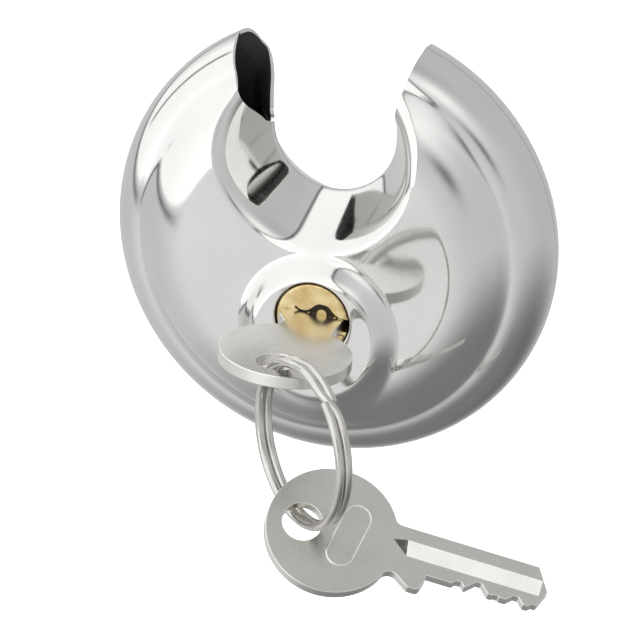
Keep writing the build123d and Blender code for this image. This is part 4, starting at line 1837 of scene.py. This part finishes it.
@dataclass
class SoftRoom:
    """The room round the object: a grey wall with a wide white panel up on the left.

    Only reflections see its shapes. Everything else gets an even light from it, and the
    camera sees plain white.

    Attributes:
        name: Name of the world.
        panel_lit: Azimuth and elevation of a point on the panel, degrees.
        panel_corner: Those of its lower right corner.
        panel_left: Those of another point on its lower edge.
        panel_right: Those of another point on its right edge.
        panel_far: Direction that the panel's far right side keeps to.
        panel_level: Light that the panel adds to the wall's.
        wall_low: Light of the wall where it is darkest, below.
        wall_rise: Light that the rest of the wall adds.
        wall_slant: Direction in which the wall grows lighter.
        back: Direction of the darker wall behind, on the right.
        back_level: Light that is taken away there.
        frame: The dark frame of the panel's two edges.
        bar: The dark upright bar left of the camera.
        bar_azimuth: Where the bar stands, degrees.
        bar_side: Azimuth of the side of the room that shows the bar, degrees.
        even: Light that reaches everything but mirrors.
        least: Least light in any reflection.
        glows: Soft lights and shades on the wall.
        boss_shade: The small shade that the boss's flank mirrors.
    """

    name: str = "studio_room"
    panel_lit: tuple[float, float] = (-50.0, 40.0)
    panel_corner: tuple[float, float] = (-18.0, -17.0)
    panel_left: tuple[float, float] = (-95.0, -3.0)
    panel_right: tuple[float, float] = (20.0, 30.0)
    panel_far: tuple[float, float, float] = (-1.0, -0.15, 0.05)
    panel_level: float = 0.52
    wall_low: float = 0.22
    wall_rise: float = 0.44
    wall_slant: tuple[float, float, float] = (-0.25, 0.0, 1.0)
    back: tuple[float, float, float] = (0.6, 0.8, 0.0)
    back_level: float = -0.08
    frame: Strip = Strip(-0.035, 0.022, -0.5)
    bar: Strip = Strip(0.0, 0.05, -1.0)
    bar_azimuth: float = -8.0
    bar_side: float = -98.0
    even: float = 0.75
    least: float = 0.02
    glows: tuple[Glow, ...] = (
        Glow(-25.0, -15.0, 6.0, 0.2),
        Glow(34.0, 42.0, 20.0, 0.5),
        Glow(60.0, 64.0, 12.0, -0.15),
    )
    boss_shade: Glow = Glow(30.0, 12.0, 90.0, -0.45)

    def mirrored(self, tree: bpy.types.NodeTree, ray: bpy.types.Node) -> bpy.types.Node:
        """Draws what mirrors see of the room.

        Args:
            tree: The world's node tree.
            ray: Node with the ray's unit direction.

        Returns:
            Node with the light that comes along the ray.
        """
        lit, corner = compass(*self.panel_lit), compass(*self.panel_corner)
        directions = (
            edge_towards(corner, compass(*self.panel_left), lit),
            edge_towards(corner, compass(*self.panel_right), lit),
            Vector(self.panel_far).normalized(),
            compass(0.0, 0.0),
            self.wall_slant,
            self.back,
            compass(self.bar_azimuth, 0.0),
            (0.0, 0.0, 1.0),
            compass(self.bar_side, 0.0),
        )
        over, near, far, ahead, slanted, behind, abreast, up, aside = (
            put(tree, "ShaderNodeVectorMath", {0: ray, 1: way}, operation="DOT_PRODUCT")
            for way in directions
        )
        beside = put(tree, "ShaderNodeMath", {0: near, 1: far}, operation="MINIMUM")
        # Each ramp is a soft step along one of these, from nought at the first number to one
        # at the second.
        ramps = (
            (over, 0.0, 0.025),
            (beside, 0.0, 0.02),
            (ahead, -0.85, -0.4),
            (slanted, -0.95, -0.4),
            (behind, 0.1, 1.0),
            (beside, 0.1, 0.5),
            (over, 0.1, 0.4),
            (up, 0.03, 0.12),
            (up, 0.66, 0.58),
            (aside, 0.0, 0.2),
        )
        on_panel, wide, fore, risen, rear, along_low, along_side, foot, head, shown = (
            put(
                tree,
                "ShaderNodeMapRange",
                {"Value": value, "From Min": low, "From Max": high},
                interpolation_type="SMOOTHSTEP",
            )
            for value, low, high in ramps
        )
        panel = on_panel
        for limit in (wide, fore):
            panel = put(tree, "ShaderNodeMath", {0: panel, 1: limit}, operation="MULTIPLY")
        # The light is the wall's lowest and, on top of it, every part times its level.
        parts = [
            (risen, self.wall_rise),
            (rear, self.back_level),
            (panel, self.panel_level),
            *((glow.draw(tree, ray), glow.level) for glow in self.glows),
            (self.frame.draw(tree, over, [along_low]), self.frame.level),
            (self.frame.draw(tree, beside, [along_side]), self.frame.level),
            (self.bar.draw(tree, abreast, [foot, head, shown]), self.bar.level),
            (self.boss_shade.draw(tree, ray), self.boss_shade.level),
        ]
        light = self.wall_low
        for part, level in parts:
            light = put(
                tree, "ShaderNodeMath", {0: part, 1: level, 2: light}, operation="MULTIPLY_ADD"
            )
        return put(tree, "ShaderNodeMath", {0: light, 1: self.least}, operation="MAXIMUM")

    def build(self) -> None:
        """Makes the world and its light."""
        world = bpy.data.worlds.new(self.name)
        bpy.context.scene.world = world
        world.use_nodes = True
        tree = world.node_tree
        tree.nodes.clear()
        way = put(tree, "ShaderNodeTexCoord").outputs["Generated"]
        ray = put(tree, "ShaderNodeVectorMath", {0: way}, operation="NORMALIZE")
        light = self.mirrored(tree, ray)
        rays = put(tree, "ShaderNodeLightPath").outputs
        mirror = put(
            tree,
            "ShaderNodeMath",
            {0: rays["Is Glossy Ray"], 1: rays["Is Transmission Ray"]},
            operation="MAXIMUM",
        )
        felt = put(
            tree, "ShaderNodeMix", {"Factor": mirror, 2: self.even, 3: light}, data_type="FLOAT"
        )
        seen = put(
            tree,
            "ShaderNodeMix",
            {"Factor": rays["Is Camera Ray"], 2: felt, 3: 1.0},
            data_type="FLOAT",
        )
        back = put(tree, "ShaderNodeBackground", {"Color": linear("FFFFFF"), "Strength": seen})
        put(tree, "ShaderNodeOutputWorld", {"Surface": back})


@dataclass
class Studio:
    """The seamless sheet, the lamp over it and the camera.

    Attributes:
        azimuth: Camera's azimuth, degrees.
        elevation: Camera's elevation, degrees.
        roll: Camera's roll, degrees.
        distance: Camera's distance from its aim, m.
        aim: Point the camera looks at, mm.
        view_height: Height of the view at the aim, mm.
        floor_z: Height of the floor, below the lowest reach of the hanging key, mm.
        floor_half: Half the floor's width, mm.
        lamp_size: Width and depth of the lamp, m.
        lamp_place: Where the lamp hangs, m.
        lamp_power: Power of the lamp, W.
    """

    azimuth: float = 18.45
    elevation: float = 21.21
    roll: float = -1.82
    distance: float = 4.0
    aim: tuple[float, float, float] = (2.5, -18.0, -7.5)
    view_height: float = 98.0
    floor_z: float = -66.0
    floor_half: float = 1600.0
    lamp_size: tuple[float, float] = (0.7, 0.5)
    lamp_place: tuple[float, float, float] = (-0.35, -0.35, 0.7)
    lamp_power: float = 5.0

    def sheet(self, finish: bpy.types.Material) -> None:
        """Lays the pale floor.

        Args:
            finish: Finish of the sheet.
        """
        half, z = self.floor_half, self.floor_z
        floor = new_piece(
            "studio_floor",
            [(-half, -half, z), (half, -half, z), (half, half, z), (-half, half, z)],
            [(0, 1, 2, 3)],
        )
        floor.data.materials.append(finish)
        floor.visible_glossy = False

    def lamp(self) -> None:
        """Hangs the large soft lamp that gives the object its faint shadow."""
        data = bpy.data.lights.new("overhead_softbox", "AREA")
        data.shape = "RECTANGLE"
        data.size, data.size_y = self.lamp_size
        data.energy = self.lamp_power
        lamp = bpy.data.objects.new("overhead_softbox", data)
        lamp.location = self.lamp_place
        lamp.rotation_euler = (-Vector(lamp.location)).to_track_quat("-Z", "Y").to_euler()
        lamp.visible_glossy = False
        lamp.visible_camera = False
        bpy.context.scene.collection.objects.link(lamp)

    def camera(self) -> None:
        """Sets the camera before the open lock, a little to the right and above."""
        back = compass(self.azimuth, self.elevation)
        data = bpy.data.cameras.new("camera")
        data.sensor_fit = "VERTICAL"
        data.angle = 2 * math.atan(self.view_height * MM / 2 / self.distance)
        data.clip_start, data.clip_end = 0.01, 20.0
        lens = bpy.data.objects.new("camera", data)
        lens.location = Vector(self.aim) * MM + back * self.distance
        look = (-back).to_track_quat("-Z", "Y")
        lens.rotation_euler = (
            look.to_matrix() @ Matrix.Rotation(math.radians(self.roll), 3, "Z")
        ).to_euler()
        bpy.context.scene.collection.objects.link(lens)
        bpy.context.scene.camera = lens

    def build(self, finish: bpy.types.Material) -> None:
        """Sets up the whole studio.

        Args:
            finish: Finish of the floor sheet.
        """
        self.sheet(finish)
        SoftRoom().build()
        self.lamp()
        self.camera()
        bpy.context.scene.view_settings.view_transform = "Standard"


# --- the padlock ---


class Finishes:
    """Every finish of the padlock, made once.

    The real tool marks of these metals are a hundredth to a tenth of a millimetre apart,
    too fine to show, so every grain below is drawn coarser, at the size that still shows.
    """

    def __init__(self) -> None:
        """Makes the materials."""
        # Drawn stainless sheet, buffed to a mirror: it shows the room nearly sharp, and the
        # slow waves that the press leaves, some 7 mm wide, bend the reflections a little.
        self.polished = MetalFinish(
            "mirror_polished_stainless",
            "E8E7E5",
            "E2E1DF",
            0.05,
            0.03,
            mottle=14.0,
            grain=0.5,
            grain_depth=0.0002,
            ripple=7.0,
            ripple_depth=0.012,
        ).material()
        # The same sheet's inner face, never buffed, so dull; its dark grey is painted shade, so that
        # the horns' open ends and the plug's gap look dark.
        self.inside = MetalFinish(
            "drawn_steel_inside_painted_shade", "504F4D", "3D3C3A", 0.5, 0.15, grain=0.4, metallic=0.3
        ).material()
        # Brass in the bottom of the broached keyway, painted brown-black as the shade in its gap: a
        # dark line.
        self.shade = MetalFinish(
            "keyway_painted_shade", "2E2214", "20170D", 0.5, 0.1, metallic=0.2
        ).material()
        # Hardened steel bar, ground and nickelled: bright, with a soft streak along it.
        self.bar = MetalFinish(
            "ground_steel_bar", "DAD9D6", "CFCDC9", 0.16, 0.08, grain=0.3
        ).material()
        # Mild steel sheet as it leaves the rolls: grey and even, for the guides inside.
        self.sheet_steel = MetalFinish(
            "rolled_sheet_steel", "A9A8A5", "8F8D89", 0.32, 0.14, grain=0.35
        ).material()
        # Oil-quenched steel: darker grey, with a satin surface, for the lug, cam and guard.
        self.hard = MetalFinish("hardened_steel", "8E8C88", "77756F", 0.3, 0.12).material()
        # Drawn spring wire: smooth and bright grey.
        self.spring = MetalFinish("spring_wire", "B7B6B2", "9C9A95", 0.24, 0.1).material()
        # Free-cutting brass, sawn and drilled: yellow, with clear tool marks.
        self.brass = MetalFinish(
            "machined_brass", "D9BE84", "B99B5F", 0.26, 0.14, grain=0.3, grain_depth=0.001
        ).material()
        # The same brass faced on a lathe: paler, with rings 0.22 mm apart about the plug's
        # axis, and tarnish that clouds it in patches.
        self.plug = TurnedFinish(
            "turned_plug_brass", "F7E4B2", "DDBC7C", axis_z=-9.0, gloss=0.3
        ).material()
        # Nickel silver, tumbled after pressing: the keys' flats, grey and satin.
        self.nickel = MetalFinish(
            "satin_nickel_silver", "DAD9D5", "D2D1CC", 0.22, 0.05, mottle=5.0, grain=0.12
        ).material()
        # The same alloy where a cutter passed or a hand has worn it: paler fresh metal, made nearly
        # white as a painted highlight.
        self.bright = MetalFinish(
            "milled_nickel_silver_and_painted_highlight", "F7F6F3", "F0EFEB", 0.24, 0.05, mottle=5.0, grain=0.16
        ).material()
        # Where the cutter came out of the groove: torn metal that scatters the light, painted dark
        # grey as the shade it faces.
        self.ramp_painted_shade = MetalFinish(
            "cutter_run_out_painted_shade", "8B8A86", "5E5D5A", 0.5, 0.1, mottle=0.8, grain=0.2
        ).material()
        # Nickel-plated spring steel wire: glossy, with thin bright lines along it.
        self.ring = MetalFinish(
            "bright_nickel_wire", "DEDDDA", "CFCDC8", 0.12, 0.08, mottle=4.0
        ).material()
        # Matt card under the object: it only has to look white.
        self.paper = PaperFinish().material()


def report(piece: bpy.types.Object) -> None:
    """Logs a finished piece and its number of faces."""
    LOG.info("%s: %s faces", piece.name, len(piece.data.polygons))


def main() -> None:
    """Builds the pieces in order and reports each one."""
    logging.basicConfig(level=logging.INFO, format="%(name)s: %(message)s")
    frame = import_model()
    LOG.info("%s nodes loaded", len(frame["nodes"]))
    finishes = Finishes()

    front = StampedShell(
        "front_shell_skin", Side.FRONT, boss_round=0.8, plug_hole=True
    ).dress(finishes.polished, finishes.inside)
    rear = StampedShell(
        "rear_shell_skin",
        Side.REAR,
        boss_round=2.2,
        drains=((29.4, 0.0), (-29.4, 0.0), (0.0, -29.4)),
        horn_crease_blend=4.0,
    ).dress(finishes.polished, finishes.inside)
    for piece, node in ((front, "front_shell"), (rear, "rear_shell")):
        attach(piece, Body.CASE.value)
        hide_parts(node)
        report(piece)

    bar = Shackle().dress(finishes.bar)
    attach(bar, Body.SHACKLE.value)
    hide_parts("shackle")
    report(bar)

    ring = SplitRing().dress(finishes.ring)
    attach(ring, Body.RING.value)
    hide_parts("key_ring")
    report(ring)

    face = PlugFace().dress(finishes.plug, finishes.shade)
    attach(face, Body.PLUG.value)
    report(face)

    working = CutKey(
        "working_key_cut",
        origin=(0.694, -30.0, -9.0914),
        along=(0.0, 1.0, 0.0),
        facing=(-0.1305, 0.0, -0.9914),
    )
    spare = CutKey(
        "spare_key_cut",
        origin=(10.5438, -40.0242, -33.3314),
        along=(0.92618, 0.21424, -0.31030),
        facing=(0.37468, -0.61547, 0.69340),
    )
    for key, node, body in ((working, "working_key", Body.PLUG), (spare, "spare_key", Body.SPARE)):
        pieces = key.dress(finishes.nickel, finishes.bright, finishes.ramp_painted_shade)
        for piece in pieces:
            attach(piece, body.value)
            report(piece)
        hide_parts(node)

    kept = (
        (finishes.sheet_steel, ("front_guide", "rear_guide", "shackle_stop")),
        (finishes.hard, ("shackle_lug", "lug_rivets", "drive_cam", "drive_pin", "drive_roller")),
        (finishes.hard, ("drill_guard", "weld_studs", "stud_nuts", "cam_screw")),
        (finishes.brass, ("cylinder_housing", "key_pins", "chamber_plugs")),
        (finishes.plug, ("plug",)),
        (finishes.nickel, ("driver_pins",)),
        (finishes.spring, ("plug_clip", "pin_springs")),
    )
    for finish, nodes in kept:
        for node in nodes:
            redress(node, finish)
            LOG.info("%s: kept as built, in its finish", node)
    Studio().build(finishes.paper)
    LOG.info("studio ready")


if __name__ == "__main__":
    main()
